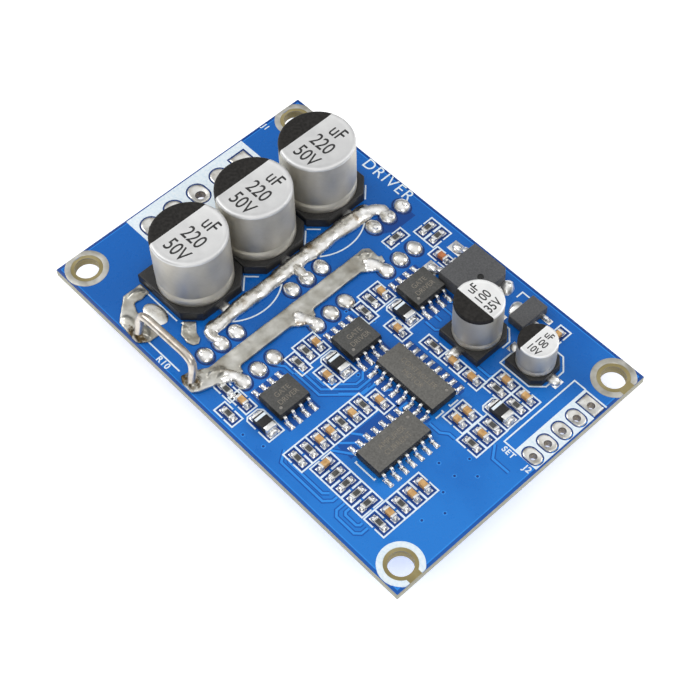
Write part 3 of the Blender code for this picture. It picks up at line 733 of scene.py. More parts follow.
# %% Gaps and tracks
TRACKS = [
    [(33.0, 11.6), (37.4, 11.6), (40.8, 15.2), (40.8, 16.6)],
    [(33.0, 12.3), (37.0, 12.3), (40.1, 15.6), (40.1, 17.6), (39.3, 18.3)],
    [(35.4, 13.0), (36.7, 13.0), (39.4, 15.9), (39.4, 17.0), (38.6, 17.8)],
    [(38.9, 13.4), (41.0, 15.6), (41.0, 18.3)],
    [(40.2, 3.4), (41.2, 2.0), (48.4, 2.0), (49.2, 2.9), (49.2, 3.6)],
    [(50.4, 3.7), (50.4, 2.4), (51.0, 1.8), (54.0, 1.8), (54.6, 2.4), (54.6, 3.4)],
    [(51.3, 3.6), (51.3, 3.0), (51.6, 2.7), (53.4, 2.7), (53.7, 3.0), (53.7, 3.4)],
    [(41.4, 3.0), (41.9, 2.7), (47.6, 2.7), (48.2, 3.3)],
    [(43.9, 8.6), (45.4, 10.2), (46.4, 10.2)],
    [(43.9, 10.6), (45.1, 11.5), (46.2, 11.5)],
    [(44.0, 7.3), (46.4, 9.0)],
    [(49.6, 18.4), (51.3, 18.4), (52.2, 19.1), (53.2, 19.1)],
    [(38.7, 28.5), (40.4, 28.5), (41.4, 29.5), (41.4, 30.6), (40.4, 31.6), (38.7, 31.6)],
    [(38.9, 30.0), (40.0, 30.0)],
    [(38.5, 32.6), (39.6, 33.8), (39.6, 34.6)],
    [(30.4, 10.6), (31.5, 11.4), (33.0, 11.4)],
    [(46.2, 28.4), (49.9, 28.4), (50.2, 28.9)],
    [(57.0, 22.0), (58.2, 20.4), (60.8, 20.4)],
    [(43.0, 18.6), (42.4, 17.6)],
    [(45.6, 18.6), (45.6, 17.4), (46.4, 16.9)],
]
VIAS = [(56.3, 18.4), (54.2, 15.4), (56.7, 15.5), (58.6, 17.4), (57.3, 13.0), (59.4, 11.2), (58.2, 8.6),
        (38.6, 17.0), (41.0, 17.6), (26.9, 33.2), (30.7, 22.4), (34.2, 23.9), (38.1, 1.9), (35.2, 1.2)]
BARE_PATCHES = [
    [(22.6, 34.2), (25.0, 34.2), (25.8, 35.6), (25.8, 39.4), (22.6, 39.4)],
    [(31.4, 28.6), (38.8, 28.6), (38.8, 33.8), (31.4, 33.8)],
    [(31.4, 17.4), (38.8, 17.4), (38.8, 22.6), (31.4, 22.6)],
    [(31.4, 5.5), (38.8, 5.5), (38.8, 10.6), (31.4, 10.6)],
    [(39.0, 17.3), (48.2, 17.3), (49.3, 18.3), (49.3, 19.0), (39.0, 19.0)],
    [(39.0, 23.8), (49.3, 23.8), (49.3, 24.6), (48.7, 25.2), (39.0, 25.2)],
    [(44.2, 8.3), (46.6, 8.3), (46.6, 17.8), (45.4, 17.8), (44.2, 16.8)],
]
PATCH_LEVEL = POUR_LEVEL + 0.004
GAP_WIDTH, TRACK_WIDTH = 0.62, 0.3
tracks = bmesh.new()
for outline in BARE_PATCHES:
    add_to(tracks, slab(outline, POUR_LEVEL, PATCH_LEVEL), matrix=Matrix())
for path in TRACKS:
    inked(tracks, path, GAP_WIDTH, POUR_LEVEL, thickness=0.005)
for path in TRACKS:
    inked(tracks, path, TRACK_WIDTH, POUR_LEVEL + 0.006, thickness=0.008, finish=1)
line = EDGE_GAP + 0.1
inked(tracks, [(line, line), (LENGTH - line, line), (LENGTH - line, WIDTH - line), (line, WIDTH - line)],
      0.12, POUR_LEVEL, closed=True, thickness=0.01, finish=1)
for place in VIAS:
    add_to(tracks, turned([(0.3, POUR_LEVEL), (0.26, POUR_LEVEL + 0.025), (0.17, POUR_LEVEL + 0.025)], 16,
                          finish=1, centre=place))
    add_to(tracks, turned([(0.17, POUR_LEVEL + 0.022), (0.12, POUR_LEVEL + 0.004), (0, POUR_LEVEL + 0.002)],
                          16, finish=2, centre=place))
for node in TRANSISTORS:
    x, y = joints_of(node)
    for step in (-1, 0, 1):
        disc = peg(0.02, 0.041 + 0.001 * step, 1.22, 1.2, steps=40, finish=2)
        add_to(tracks, disc, matrix=Matrix.Translation((x, y + step * LEAD_SPACING, 0))
               @ Matrix.Diagonal((1.25, 1, 1, 1)))
add_piece("tracks_and_gaps", tracks, [BARE_MASK, TRACK_MASK, NAVY_MASK])
print(len(TRACKS), "tracks,", len(VIAS), "vias and", 3 * len(TRANSISTORS), "gaps round joints")

# %% [markdown]
# ## Screw holes, pads and printed rings
# Around each screw hole the lacquer is left off: first a ring of bare laminate, then a ring of tin, or of
# white print at one hole. The rows of pads for wires are plated straight through, so each pad is a
# land on both faces with a barrel down the hole. The tin froze thickest near a pad's rim and dips towards
# its hole, and so the rim catches light.

# %% Screw-hole rings
LAND_LEVEL = 0.035
RIM_GAP = 0.06
BARE_RING = [(1.6, 0), (1.6, 0.04), (2.1, 0.04), (2.1, 0)]
TIN_RING = [(2.08, 0.03), (2.12, 0.075), (2.2, 0.085), (2.7, 0.08), (2.86, 0.06), (2.9, 0.0)]


def ring_on(face, profile, centre):
    """A ring whose heights count up from the upper face, or down from the lower one."""
    return turned([(radius, height if face > 0 else -THICKNESS - height) for radius, height in profile],
                  centre=centre)


rings, bare, painted = bmesh.new(), bmesh.new(), bmesh.new()
for place in SCREW_HOLES:
    for face in (1, -1):
        add_to(bare, ring_on(face, BARE_RING, place))
        ring = ring_on(face, TIN_RING, place)
        for vertex in ring.verts:
            vertex.co.x = min(max(vertex.co.x, RIM_GAP), LENGTH - RIM_GAP)
            vertex.co.y = min(max(vertex.co.y, RIM_GAP), WIDTH - RIM_GAP)
        add_to(painted if place == SCREW_HOLES[1] else rings, ring)
for x, y in SCREW_HOLES[1:3]:
    add_to(bare, block((x + 1.62, y - 0.95, 0.0), (LENGTH - 0.01, y + 0.95, 0.092)))
add_piece("screw_hole_bare_rings", bare, [LAMINATE])
add_piece("screw_hole_printed_ring", painted, [PRINT])
add_piece("screw_hole_tin_rings", rings, [TINNED])
print("rings round", len(SCREW_HOLES), "screw holes")

# %% Plated pads
def racetrack(length, width, steps=12):
    """An outline with two straight sides and two round ends, along X."""
    half = (length - width) / 2
    right = circle(width / 2, steps, (half, 0), -90, 90)
    left = circle(width / 2, steps, (-half, 0), 90, 270)
    return right + left


def dense(outline, step=0.25):
    """The outline with points added along its long sides."""
    points = []
    for start, end in zip(outline, outline[1:] + outline[:1]):
        start, end = Vector(start), Vector(end)
        count = max(1, round((end - start).length / step))
        points += [tuple(start.lerp(end, index / count)) for index in range(count)]
    return points


PAD_SLOPE = [(1.0, -0.03), (0.985, 0.01), (0.85, 0.1), (0.6, 0.09), (0.2, 0.02), (0.0, -0.002)]
BARREL_STEPS, BARREL_WALL = 32, 0.02


def plated_pad(outline, radius, hole):
    """A land on both faces joined by a barrel. The hole may sit off the land's middle.

    PAD_SLOPE goes from the outline in to the hole, as (share of the way out, height).
    """
    outline = [Vector(point) for point in dense(outline)]
    centre = Vector((hole, 0))
    inner = [centre + (point - centre).normalized() * radius for point in outline]
    shape = bmesh.new()
    barrel = []
    for level, lift in ((LAND_LEVEL, 1), (-THICKNESS - LAND_LEVEL, -1)):
        skin(shape, [[shape.verts.new((*near.lerp(far, share), level + lift * height))
                      for near, far in zip(inner, outline)] for share, height in PAD_SLOPE])
        barrel.append([(x, y, level) for x, y in circle(radius - BARREL_WALL, BARREL_STEPS, centre)])
    for face in skin(shape, [[shape.verts.new(point) for point in ring] for ring in barrel]):
        face.material_index = 1
    return shape


def softened(outline, radius):
    """A closed outline with every corner eased."""
    middle = (Vector(outline[0]) + Vector(outline[-1])) / 2
    path = rounded([(x, y, 0) for x, y in (middle, *outline, middle)], radius, 3)
    return [(point.x, point.y) for point in path][:-1]


# The barrel's dark brown-grey is painted shade down the hole.
BARREL_SHADE = noisy_finish("barrel_painted_shade", ((0.3, 3), (0.3, (0.2, 0.16, 0.12)), (0.7, (0.42, 0.37, 0.3))),
                      ((0.2,), 0.4, 0.6), ((0.2,), 0.02, 0.4), metallic=0.7)
PAD_TIN = noisy_finish("pad_tin", ((1.1, 3), (0.32, (0.6, 0.57, 0.51)), (0.5, (0.8, 0.79, 0.75)),
                                   (0.7, (0.92, 0.92, 0.9))), ((0.5, 3), 0.24, 0.4), ((0.8, 2), 0.03, 0.3),
                       metallic=1.0)
POWER_SHIFT, SIGNAL_SHIFT = 0.35, 0.1  # how far a pad's middle lies from its hole
clearances = bmesh.new()


def pad_shapes(holes, shift, length_and_width, half_sizes):
    """Where each pad of a row lies, with its outline: all have round ends but the last."""
    for index, (x, y) in enumerate(holes):
        round_ended = index < len(holes) - 1
        yield x - shift, y, racetrack(*length_and_width) if round_ended else rectangle(*half_sizes)


def build_pads(name, holes, radius, shift, length_and_width, half_sizes, grown):
    """A row of pads, with gaps in the copper round them."""
    row = bmesh.new()
    for x, y, outline in pad_shapes(holes, shift, length_and_width, half_sizes):
        if len(outline) == 4:
            outline = softened(outline, 0.1)
        add_to(row, plated_pad(outline, radius, shift), x, y)
        gap = [(u * grown[0], v * grown[1]) for u, v in outline]
        add_to(clearances, slab(gap, POUR_LEVEL, PATCH_LEVEL), x, y)
    add_piece(name, row, [PAD_TIN, BARREL_SHADE], sharp=50)


build_pads("power_pads", POWER_HOLES, POWER_RADIUS, POWER_SHIFT, (3.4, 2.6), (1.6, 1.3), (1.12, 1.16))
build_pads("signal_pads", SIGNAL_HOLES, SIGNAL_RADIUS, SIGNAL_SHIFT, (2.7, 1.8), (1.45, 0.9), (1.1, 1.2))
add_piece("pad_clearances", carved(clearances, pegs(-1, 1)), [NAVY_MASK])
print("ten plated pads")

# %% [markdown]
# ## Where the small chips stand
# Ceramic chips come in framed groups. The frame model has a plain block for each chip, with a raised cap
# at both ends. The tops of those caps are little rectangles at a height that tells the kind of chip: so
# the corners of each cap are gathered, and two caps one chip apart make a pair.

# %% Read the chips off the frame model
CAP_SPACING = 1.28
CAP_REACH = 0.87  # corners nearer than this belong to one cap
CAP_TOPS = {"resistor": 0.53, "capacitor": 0.83}
CHIP_GROUPS = sorted(node for node in frame["nodes"]
                     if "chip" in node or node.endswith(("parts_middle", "parts_near", "filter",
                                                         "feedback_row", "network_far", "network_near",
                                                         "filter_column")))


def cap_tops(node, height):
    """The middle of each end cap's top, from corners less than a cap's length apart."""
    corners = [(vertex.co - CORNER) / MM for vertex in frame["nodes"][node].data.vertices]
    corners = [corner for corner in corners if abs(corner.z - height) < 0.01]
    caps = []
    for corner in corners:
        near = [cap for cap in caps if any((corner.xy - other).length < CAP_REACH for other in cap)]
        caps = [cap for cap in caps if cap not in near] + [sum(near, [corner.xy])]
    return [(Vector((min(p.x for p in cap), min(p.y for p in cap)))
             + Vector((max(p.x for p in cap), max(p.y for p in cap)))) / 2 for cap in caps]


def chips_of(node):
    """Each chip of a group as (kind, x, y, turn)."""
    found = []
    for kind, height in CAP_TOPS.items():
        caps = cap_tops(node, height)
        for index, first in enumerate(caps):
            for second in caps[index + 1:]:
                if abs((first - second).length - CAP_SPACING) < 0.06:
                    middle = (first + second) / 2
                    turn = 0 if abs(first.x - second.x) > abs(first.y - second.y) else 90
                    found.append((kind, middle.x, middle.y, turn))
    return sorted(found, key=lambda chip: (chip[1], chip[2]))


CHIPS = {node: chips_of(node) for node in CHIP_GROUPS}
print(len(CHIP_GROUPS), "groups hold", sum(len(chips) for chips in CHIPS.values()), "chips")

# %% [markdown]
# ## White printing
# Outlines and labels are screen-printed in white ink, a few hundredths of a millimetre thick. Each line
# is a flat strip with mitred corners. The frames follow the parts that they surround, so they are worked
# out from the frame model. Lettering comes from Blender's own font and says only generic things.

# %% Ink finish and lettering
INK_LEVEL = 0.05
LINE = 0.2


def lettering(text, height, x=0, y=0, z=0, turn=0, squeeze=0.85, bold=0.0, thickness=0.01, spacing=1.0):
    """A word as a thin solid, centred on a place."""
    curve = bpy.data.curves.new("word", "FONT")
    curve.body = text
    curve.size = height / 0.7
    curve.align_x, curve.align_y = "CENTER", "CENTER"
    curve.extrude = thickness / 2
    curve.offset = bold
    curve.space_character = spacing
    curve.resolution_u = 4
    holder = bpy.data.objects.new("word", curve)
    bpy.context.scene.collection.objects.link(holder)
    bpy.context.view_layer.update()
    mesh = bpy.data.meshes.new_from_object(holder.evaluated_get(bpy.context.evaluated_depsgraph_get()))
    bpy.data.objects.remove(holder)
    mesh.transform(Matrix.Translation((x, y, z)) @ Matrix.Rotation(math.radians(turn), 4, "Z")
                   @ Matrix.Diagonal((squeeze, 1, 1, 1)))
    shape = bmesh.new()
    shape.from_mesh(mesh)
    bpy.data.meshes.remove(mesh)
    return shape


print("lettering ready")

# %% Frames round the chips and diodes
FRAME_LONG, FRAME_WIDE = 1.66, 0.87
MID_GAP = 0.3
printing = bmesh.new()


def framed(shape, x, y, turn, long, wide, gap=MID_GAP, chamfer=0.0):
    """A frame with a small gap in the middle of both long sides."""
    spin = Matrix.Rotation(math.radians(turn), 2)
    halves = []
    for side in (-1, 1):
        cut = chamfer if side < 0 else 0
        half = [(side * gap / 2, -wide), (side * (long - cut), -wide), (side * long, -wide + cut),
                (side * long, wide - cut), (side * (long - cut), wide), (side * gap / 2, wide)]
        halves.append([point for index, point in enumerate(half) if not index or point != half[index - 1]])
    for half in halves:
        placed = [spin @ Vector(point) + Vector((x, y)) for point in half]
        inked(shape, placed, LINE, INK_LEVEL)


for chips in CHIPS.values():
    for kind, x, y, turn in chips:
        framed(printing, x, y, turn, FRAME_LONG, FRAME_WIDE)
DIODES = ["catch_diode_far", "catch_diode_middle", "catch_diode_near", "supply_diode"]
for node in DIODES:
    low, high = measured(node)
    framed(printing, (low.x + high.x) / 2, (low.y + high.y) / 2, 0, 2.2, 1.2, 0.5, 0.4)
print("frames for", sum(len(chips) for chips in CHIPS.values()) + len(DIODES), "parts")

# %% Marks round the larger parts
BULK = ["bulk_capacitor_near", "bulk_capacitor_middle", "bulk_capacitor_far"]


def centre_of(node):
    """The middle of a frame part, seen from above."""
    low, high = measured(node)
    return (low.x + high.x) / 2, (low.y + high.y) / 2


def mark(node, *paths, width=LINE, closed=False):
    """White lines, with points measured from the middle of a part, or from the board's corner."""
    x, y = centre_of(node) if node else (0, 0)
    for path in paths:
        inked(printing, [(x + u, y + v) for u, v in path], width, INK_LEVEL, closed=closed)


for node in BULK:
    mark(node + "_base", [(3.5, 5.1), (5.2, 3.4)], [(3.5, -5.5), (4.8, -4.2)])
mark(None, *[circle(6.6, 24, (16.8, y), -43, 43) for y in (15.2, 29.8)])
mark("supply_capacitor_base", [(1.4, 3.7), (2.1, 3.7), (3.5, 2.3), (3.5, 1.0)])
mark("regulator_capacitor_base", [(-3.2, -2.8), (1.6, -2.8), (3.1, -1.3), (3.1, 1.8), (1.6, 3.4),
                                  (-3.2, 3.4)], closed=True)
mark("logic_supply_regulator", [(-3.1, 1.3), (-3.1, 2.4), (-1.9, 2.4)])
mark("motor_controller", [(5.4, 1.9), (5.4, 0.6), (5.1, 0.6)], [(5.4, -1.9), (5.4, -0.6), (5.1, -0.6)])
mark("current_amplifier", [(-1.6, -4.5), (-1.6, -4.75), (1.6, -4.75), (1.6, -4.5)])
for place in ("far", "middle", "near"):
    mark("gate_driver_" + place, [(-0.9, -2.75), (0.9, -2.75)], width=0.16)
mark(None, [(16.7, 1.5), (23.0, 1.5)], [(9.4, 6.1), (17.0, 6.1)])
print("marks drawn, lines so far:", lines_drawn)

# %% Solid printed fields behind the pad rows
def field(outline, *pads):
    """A solid field of ink with room left for the pads."""
    cutter = bmesh.new()
    for x, y, edge in pad_shapes(*pads):
        add_to(cutter, slab(edge, -1, 1), x, y)
    add_to(printing, carved(slab(outline, INK_LEVEL - 0.02, INK_LEVEL), cutter))


field([(0.25, 11.4), (7.0, 11.4), (7.0, 31.4), (0.25, 31.4)], POWER_HOLES, POWER_SHIFT, (3.75, 2.95),
      (1.8, 1.5))
field([(59.2, 23.0), (62.75, 23.0), (62.75, 35.5), (59.2, 35.5)], SIGNAL_HOLES, SIGNAL_SHIFT, (3.0, 2.1),
      (1.6, 1.05))
mark(None, [(59.3, 23.1), (57.5, 23.1), (57.5, 35.45), (59.3, 35.45)])
for word, height, x, y, turn in (("DRIVER", 1.7, 19.0, 40.95, 0), ("R10", 0.85, 20.6, 0.85, 0),
                                 ("SET", 0.75, 58.9, 22.35, 0), ("J2", 0.8, 62.0, 22.3, 0),
                                 ("J1", 0.8, 0.75, 35.4, 0)):
    add_to(printing, lettering(word, height, x, y, INK_LEVEL, turn, 1.0, bold=0.0 if height > 1.2 else 0.03,
                               spacing=1.15))
add_piece("white_printing", printing, [PRINT])
print("printing finished")

# %% Dark windows under the framed parts
windows = bmesh.new()
openings = [(x, y, *((1.5, 0.72) if turn == 0 else (0.72, 1.5)))
            for chips in CHIPS.values() for kind, x, y, turn in chips]
openings += [(*centre_of(node), 2.05, 1.05) for node in DIODES]
for x, y, long, wide in openings:
    add_to(windows, block((x - long, y - wide, 0.03), (x + long, y + wide, 0.042)))
add_piece("mask_windows", windows, [NAVY_MASK])
print("windows in the copper under the chips")

# %% [markdown]
# ## Ceramic chips
# A chip capacitor is a tan ceramic block, a chip resistor a thinner white one under a black glaze. Both
# have bright metal caps, and a slope of solder leads from each cap down to its pad. The solder is what
# one sees first from above, so every cap gets its own slightly different slope.

# %% Ceramic finishes
def ceramic(name, dark, light, roughness=0.42):
    """Fired ceramic: evenly coloured, with a fine grain."""
    return noisy_finish(name, ((0.5, 5), (0.3, dark), (0.7, light)), bumps=((0.12, 3), 0.012, 0.7),
                        roughness=roughness)


TAN = ceramic("tan_ceramic", (0.46, 0.24, 0.075), (0.74, 0.46, 0.19))
RED = ceramic("reddish_ceramic", (0.42, 0.13, 0.04), (0.6, 0.22, 0.08))
GLAZE = ceramic("resistor_glaze", (0.035, 0.035, 0.035), (0.09, 0.09, 0.085), 0.3)
WHITE_CORE = ceramic("resistor_core", (0.55, 0.55, 0.52), (0.7, 0.7, 0.67))
print("four ceramic finishes")

# %% Build every chip
PAD_BOTTOM, PAD_TOP = 0.03, 0.06
HALF_CHIP, HALF_BREADTH = 0.8, 0.41
BODY_TOPS = {"resistor": 0.5, "capacitor": 0.8}
REDDISH = {"driver_supply_chip_far"}


def tin_pad(low, high, finish=0):
    """The thin tinned pad that a lead or a cap is soldered to, between two corners."""
    return block((*low, PAD_BOTTOM), (*high, PAD_TOP), 0.01, finish)


def chip_body(kind):
    """The ceramic between the caps, and a resistor's glaze on it."""
    top = BODY_TOPS[kind]
    shape = bmesh.new()
    if kind == "capacitor":
        add_to(shape, block((-0.66, -0.385, 0.06), (0.66, 0.385, top), 0.05))
    else:
        add_to(shape, block((-0.66, -0.385, 0.06), (0.66, 0.385, top - 0.05), 0.03, finish=1))
        add_to(shape, block((-0.42, -0.32, top - 0.1), (0.42, 0.32, top), 0.03, finish=2))
    return shape


def chip_metal(kind, seed):
    """The two end caps, their pads and the solder between them."""
    top = BODY_TOPS[kind] + 0.03
    cap = 0.34 if kind == "capacitor" else 0.3
    shape = bmesh.new()
    for side in (-1, 1):
        ends = sorted((side * HALF_CHIP, side * (HALF_CHIP - cap)))
        add_to(shape, block((ends[0], -HALF_BREADTH, 0.05), (ends[1], HALF_BREADTH, top), 0.07, segments=3))
        pad = sorted((side * 0.5, side * 1.26))
        add_to(shape, tin_pad((pad[0], -0.44), (pad[1], 0.44)))
        slope = mound((0.42, 0.42), top * 0.62, seed + side, 1.2, 0.12, finish=1, rings=5, steps=14)
        add_to(shape, slope, side * 0.86, 0, 0.05)
    return shape


seed = 0
for node, chips in CHIPS.items():
    bodies, metal = bmesh.new(), bmesh.new()
    for kind, x, y, turn in chips:
        seed += 1
        add_to(bodies, chip_body(kind), x, y, 0, turn)
        add_to(metal, chip_metal(kind, seed), x, y, 0, turn)
    tan = RED if node in REDDISH else TAN
    add_piece(node + "_bodies", bodies, [tan, WHITE_CORE, GLAZE], [node])
    add_piece(node + "_ends", metal, [PLATED, FRESH_SOLDER], [node], sharp=60)
print(seed, "chips built")

# %% [markdown]
# ## Moulded plastic
# Chips, regulators and diodes are moulded in epoxy filled with ground glass. It is never quite black: the
# top is a matt brown-grey with a fine sandy grain. The capacitor bases are a smoother, blacker plastic.

# %% Plastic finishes
def moulded(name, dark, light, roughness, grain=0.07, depth=0.02):
    """Filled plastic, with cloudy gloss and a sandy grain of this size and depth."""
    return noisy_finish(name, ((0.22, 8), (0.3, dark), (0.7, light)),
                        ((1.5, 4), roughness - 0.06, roughness + 0.08), ((grain, 4), depth, 0.8),
                        roughness=roughness, Specular_IOR_Level=0.4)


CHIP_EPOXY = moulded("chip_epoxy", (0.1, 0.098, 0.09), (0.165, 0.16, 0.148), 0.55)
DRIVER_EPOXY = moulded("driver_epoxy", (0.055, 0.055, 0.052), (0.095, 0.094, 0.09), 0.5)
# The case sides get this much darker epoxy than the tops: painted shade.
SHADED_SIDE_EPOXY = moulded("epoxy_side_painted_shade", (0.014, 0.014, 0.013), (0.028, 0.028, 0.026), 0.45)
PACKAGE_EPOXY = moulded("package_epoxy", (0.075, 0.076, 0.08), (0.115, 0.116, 0.12), 0.5)
BASE_PLASTIC = moulded("base_plastic", (0.012, 0.012, 0.013), (0.03, 0.03, 0.03), 0.36, 0.3, 0.01)
DIODE_EPOXY = moulded("diode_epoxy", (0.01, 0.01, 0.01), (0.022, 0.022, 0.022), 0.4)
print("six plastics")

# %% [markdown]
# ## Small-outline chips
# The body is a block with slanting sides and a seam at half height. Each lead leaves at the seam, bends
# down, and ends in a flat foot that sits in a small pool of solder on its pad. A round dimple marks the
# first lead. The words on top are faint laser marks, and here they are generic.

# %% Marks burned into the plastic
LASER = noisy_finish("laser_mark", ((0.12, 3), (0.4, (0.15, 0.135, 0.11)), (0.6, (0.24, 0.215, 0.175))),
                     roughness=0.7)
DIMPLE = noisy_finish("dimple", ((0.2,), (0.3, (0.2, 0.19, 0.17)), (0.7, (0.3, 0.28, 0.26))),
                      roughness=0.35)

# node: turn, leads on a side, first lead's corner, words
OUTLINES = {"gate_driver_" + place: (90, 4, (-1, -1), ("GATE", "DRIVER"))
            for place in ("far", "middle", "near")}
OUTLINES["motor_controller"] = (0, 8, (1, 1), ("CONTROLLER", "MOTOR"))
OUTLINES["current_amplifier"] = (90, 7, (1, 1), ("AMPLIFIER", "CURRENT"))
LEAD_PITCH = 1.27
HALF_CHIP_WIDTH, LEAD_TIP = 1.95, 3.0
CHIP_FLOOR, FOUR_LEAD_LENGTH = 0.15, 4.9
DIMPLE_DEPTH = 0.06


def chip_case(half_length, bottom, top):
    """A moulded body: widest at its seam, with softened edges."""
    seam = (bottom + top) / 2 + 0.02
    shape = bmesh.new()
    draft = 0.13  # how far the sides lean in
    levels = [(bottom, draft), (seam - 0.02, 0), (seam + 0.02, 0), (top - 0.06, draft * 0.9),
              (top, draft + 0.07)]
    rings = []
    for z, inset in levels:
        corners = rectangle(half_length - inset, HALF_CHIP_WIDTH + 0.12 - inset)
        rings.append([shape.verts.new((x, y, z)) for x, y in corners])
    skin(shape, rings)
    shape.faces.new(rings[0][::-1])
    shape.faces.new(rings[-1])
    upright = [edge for edge in shape.edges if abs(edge.verts[0].co.z - edge.verts[1].co.z) > 0.03]
    bmesh.ops.bevel(shape, geom=upright, offset=0.06, segments=2, profile=0.5, affect="EDGES")
    return shape


def gull_wing(seam):
    """A lead from the seam down to its foot, pointing along -Y."""
    path = rounded([(0, -HALF_CHIP_WIDTH + 0.1, seam), (0, -HALF_CHIP_WIDTH - 0.42, seam),
                    (0, -HALF_CHIP_WIDTH - 0.6, 0.19), (0, -LEAD_TIP, 0.15)], 0.16, 4)
    return swept(path, strip_section(0.42, 0.2), (1, 0, 0))


def small_outline(node, turn, count, corner, words):
    """A chip's marked case, its two rows of leads, and the solder under them."""
    low, high = measured(node)
    x, y = centre_of(node)
    half_length = (max(high.x - low.x, high.y - low.y) if count > 4 else FOUR_LEAD_LENGTH) / 2
    bottom, top = CHIP_FLOOR, high.z
    dimple = (corner[0] * (half_length - 0.85), corner[1] * (HALF_CHIP_WIDTH - 0.75))
    body = carved(chip_case(half_length, bottom, top),
                  peg(top + 0.2, top - DIMPLE_DEPTH, 0.26, 0.24, 20, centre=dimple))
    add_to(body, peg(top - 0.05, top - DIMPLE_DEPTH, 0.22, steps=16, finish=1, centre=dimple))
    body.normal_update()
    # Upright faces take the darker side finish, a painted shade.
    for face in body.faces:
        if abs(face.normal.z) < 0.6 and face.material_index == 0:
            face.material_index = 3
    for index, word in enumerate(words):
        row = (len(words) / 2 - index - 0.5) * 1.1 - 0.1
        add_to(body, tinted(lettering(word, 0.72, 0.1, row, top + 0.001, 0, 0.9, thickness=0.004), 2))
    top_finish = DRIVER_EPOXY if count == 4 else CHIP_EPOXY
    add_piece(node + "_case", body, [top_finish, DIMPLE, LASER, SHADED_SIDE_EPOXY], [node], x, y,
              turn)
    leads, pools = bmesh.new(), bmesh.new()
    seam = (bottom + top) / 2
    for index, along in enumerate(row_of(0, LEAD_PITCH, count)):
        for side in (0, 180):
            spin = Matrix.Rotation(math.radians(side), 4, "Z")
            place = Matrix.Translation((along, 0, 0)) @ spin
            add_to(leads, gull_wing(seam), matrix=place)
            add_to(pools, tin_pad((-0.31, -3.72), (0.31, -2.25)), matrix=place)
            toe = mound((0.34, 0.66), 0.34, index + side, 0.8, 0.14, rings=5, steps=14)
            add_to(pools, toe, matrix=place @ Matrix.Translation((0, -3.12, 0.05)))
            heel = mound((0.31, 0.3), 0.3, index + side + 3, 1.2, 0.2, rings=4, steps=12)
            add_to(pools, heel, matrix=place @ Matrix.Translation((0, -2.5, 0.05)))
    add_piece(node + "_leads", leads, [PLATED], [node], x, y, turn, 50)
    add_piece(node + "_solder", pools, [FRESH_SOLDER], [node], x, y, turn, 60)


for node, (turn, count, corner, words) in OUTLINES.items():
    small_outline(node, turn, count, corner, words)
print(len(OUTLINES), "small-outline chips")

# %% [markdown]
# ## Diodes
# A diode's body is a small block with sloping sides. Its leads wrap round the ends, and a white band
# marks one of them.

# %% Build the diodes
for index, node in enumerate(DIODES):
    low, high = measured(node)
    x, y = centre_of(node)
    top = high.z
    body = bmesh.new()
    add_to(body, block((-1.2, -0.85, 0.1), (1.1, 0.85, top - 0.02), 0.1, segments=2))
    add_to(body, block((-0.9, -0.8, top - 0.05), (-0.5, 0.8, top - 0.01), finish=1))
    add_piece(node + "_case", body, [DIODE_EPOXY, PRINT], [node], x, y)
    ends = bmesh.new()
    for side, reach in ((-1, 1.08), (1, 0.66)):
        inner, outer = side * reach, side * 1.42
        add_to(ends, block((min(inner, outer), -0.78, 0.1), (max(inner, outer), 0.78, top), 0.09, segments=2))
        add_to(ends, tin_pad((side * 1.5 - 0.5, -0.8), (side * 1.5 + 0.5, 0.8)))
        add_to(ends, mound((0.4, 0.74), 0.5, index * 2 + side, 0.8, 0.1, finish=1), side * 1.62, 0, 0.05)
    add_piece(node + "_ends", ends, [PLATED, FRESH_SOLDER], [node], x, y, 0, 50)
print(len(DIODES), "diodes")

# %% [markdown]
# ## Regulators
# The motor supply's regulator is a thick block on a metal tab that carries heat into the board; its
# middle leg is cut short. The logic supply's regulator is a flat block with three small feet and a tab.

# %% Build the large regulator
low, high = measured("motor_supply_regulator")
top = high.z
REG_X, REG_Y = 38.55, 37.2
body = slab([(-3.05, -3.25), (2.35, -3.25), (3.05, -2.55), (3.05, 2.55), (2.35, 3.25), (-3.05, 3.25)], 0.1,
            top, 0.14, segments=3)
DIMPLE_PLACE = (1.18, -0.05)
body = carved(body, peg(top + 0.3, top - 0.12, 0.46, 0.44, 32, centre=DIMPLE_PLACE))
add_to(body, peg(top - 0.1, top - 0.13, 0.42, steps=32, finish=1, centre=DIMPLE_PLACE))
add_piece("motor_supply_regulator_case", body, [PACKAGE_EPOXY, DIODE_EPOXY], ["motor_supply_regulator"],
          REG_X, REG_Y)
metal = bmesh.new()
add_to(metal, slab([(1, -2.6), (3.0, -2.6), (3.6, -2.0), (3.6, 2.0), (3.0, 2.6), (1, 2.6)], 0.06, 0.5, 0.08))
for y in (-2.28, 2.28):
    path = rounded([(-2.8, y, 1.1), (-3.9, y, 1.1), (-4.3, y, 0.3), (-5.5, y, 0.27)], 0.4, 5)
    add_to(metal, swept(path, strip_section(0.8, 0.42, 0.06), (0, 1, 0)))
    add_to(metal, mound((0.95, 0.72), 0.5, y, 0.9, 0.2, finish=1), -5.0, y, 0.05)
    add_to(metal, tin_pad((-6.2, y - 0.85), (-4.1, y + 0.85)))
add_to(metal, block((-3.7, -0.4, 0.92), (-2.8, 0.4, 1.34), 0.05))
add_to(metal, mound((1.0, 2.9), 0.45, 4, 1.1, 0.25, finish=1), 3.35, 0, 0.04)
add_to(metal, mound((1.1, 1.15), 0.9, 9, 0.8, 0.3, finish=1), 3.55, 2.35, 0.04)
add_piece("motor_supply_regulator_metal", metal, [PLATED, FRESH_SOLDER], ["motor_supply_regulator"],
          REG_X, REG_Y, sharp=50)
print("regulator top at", round(top, 2), "mm")

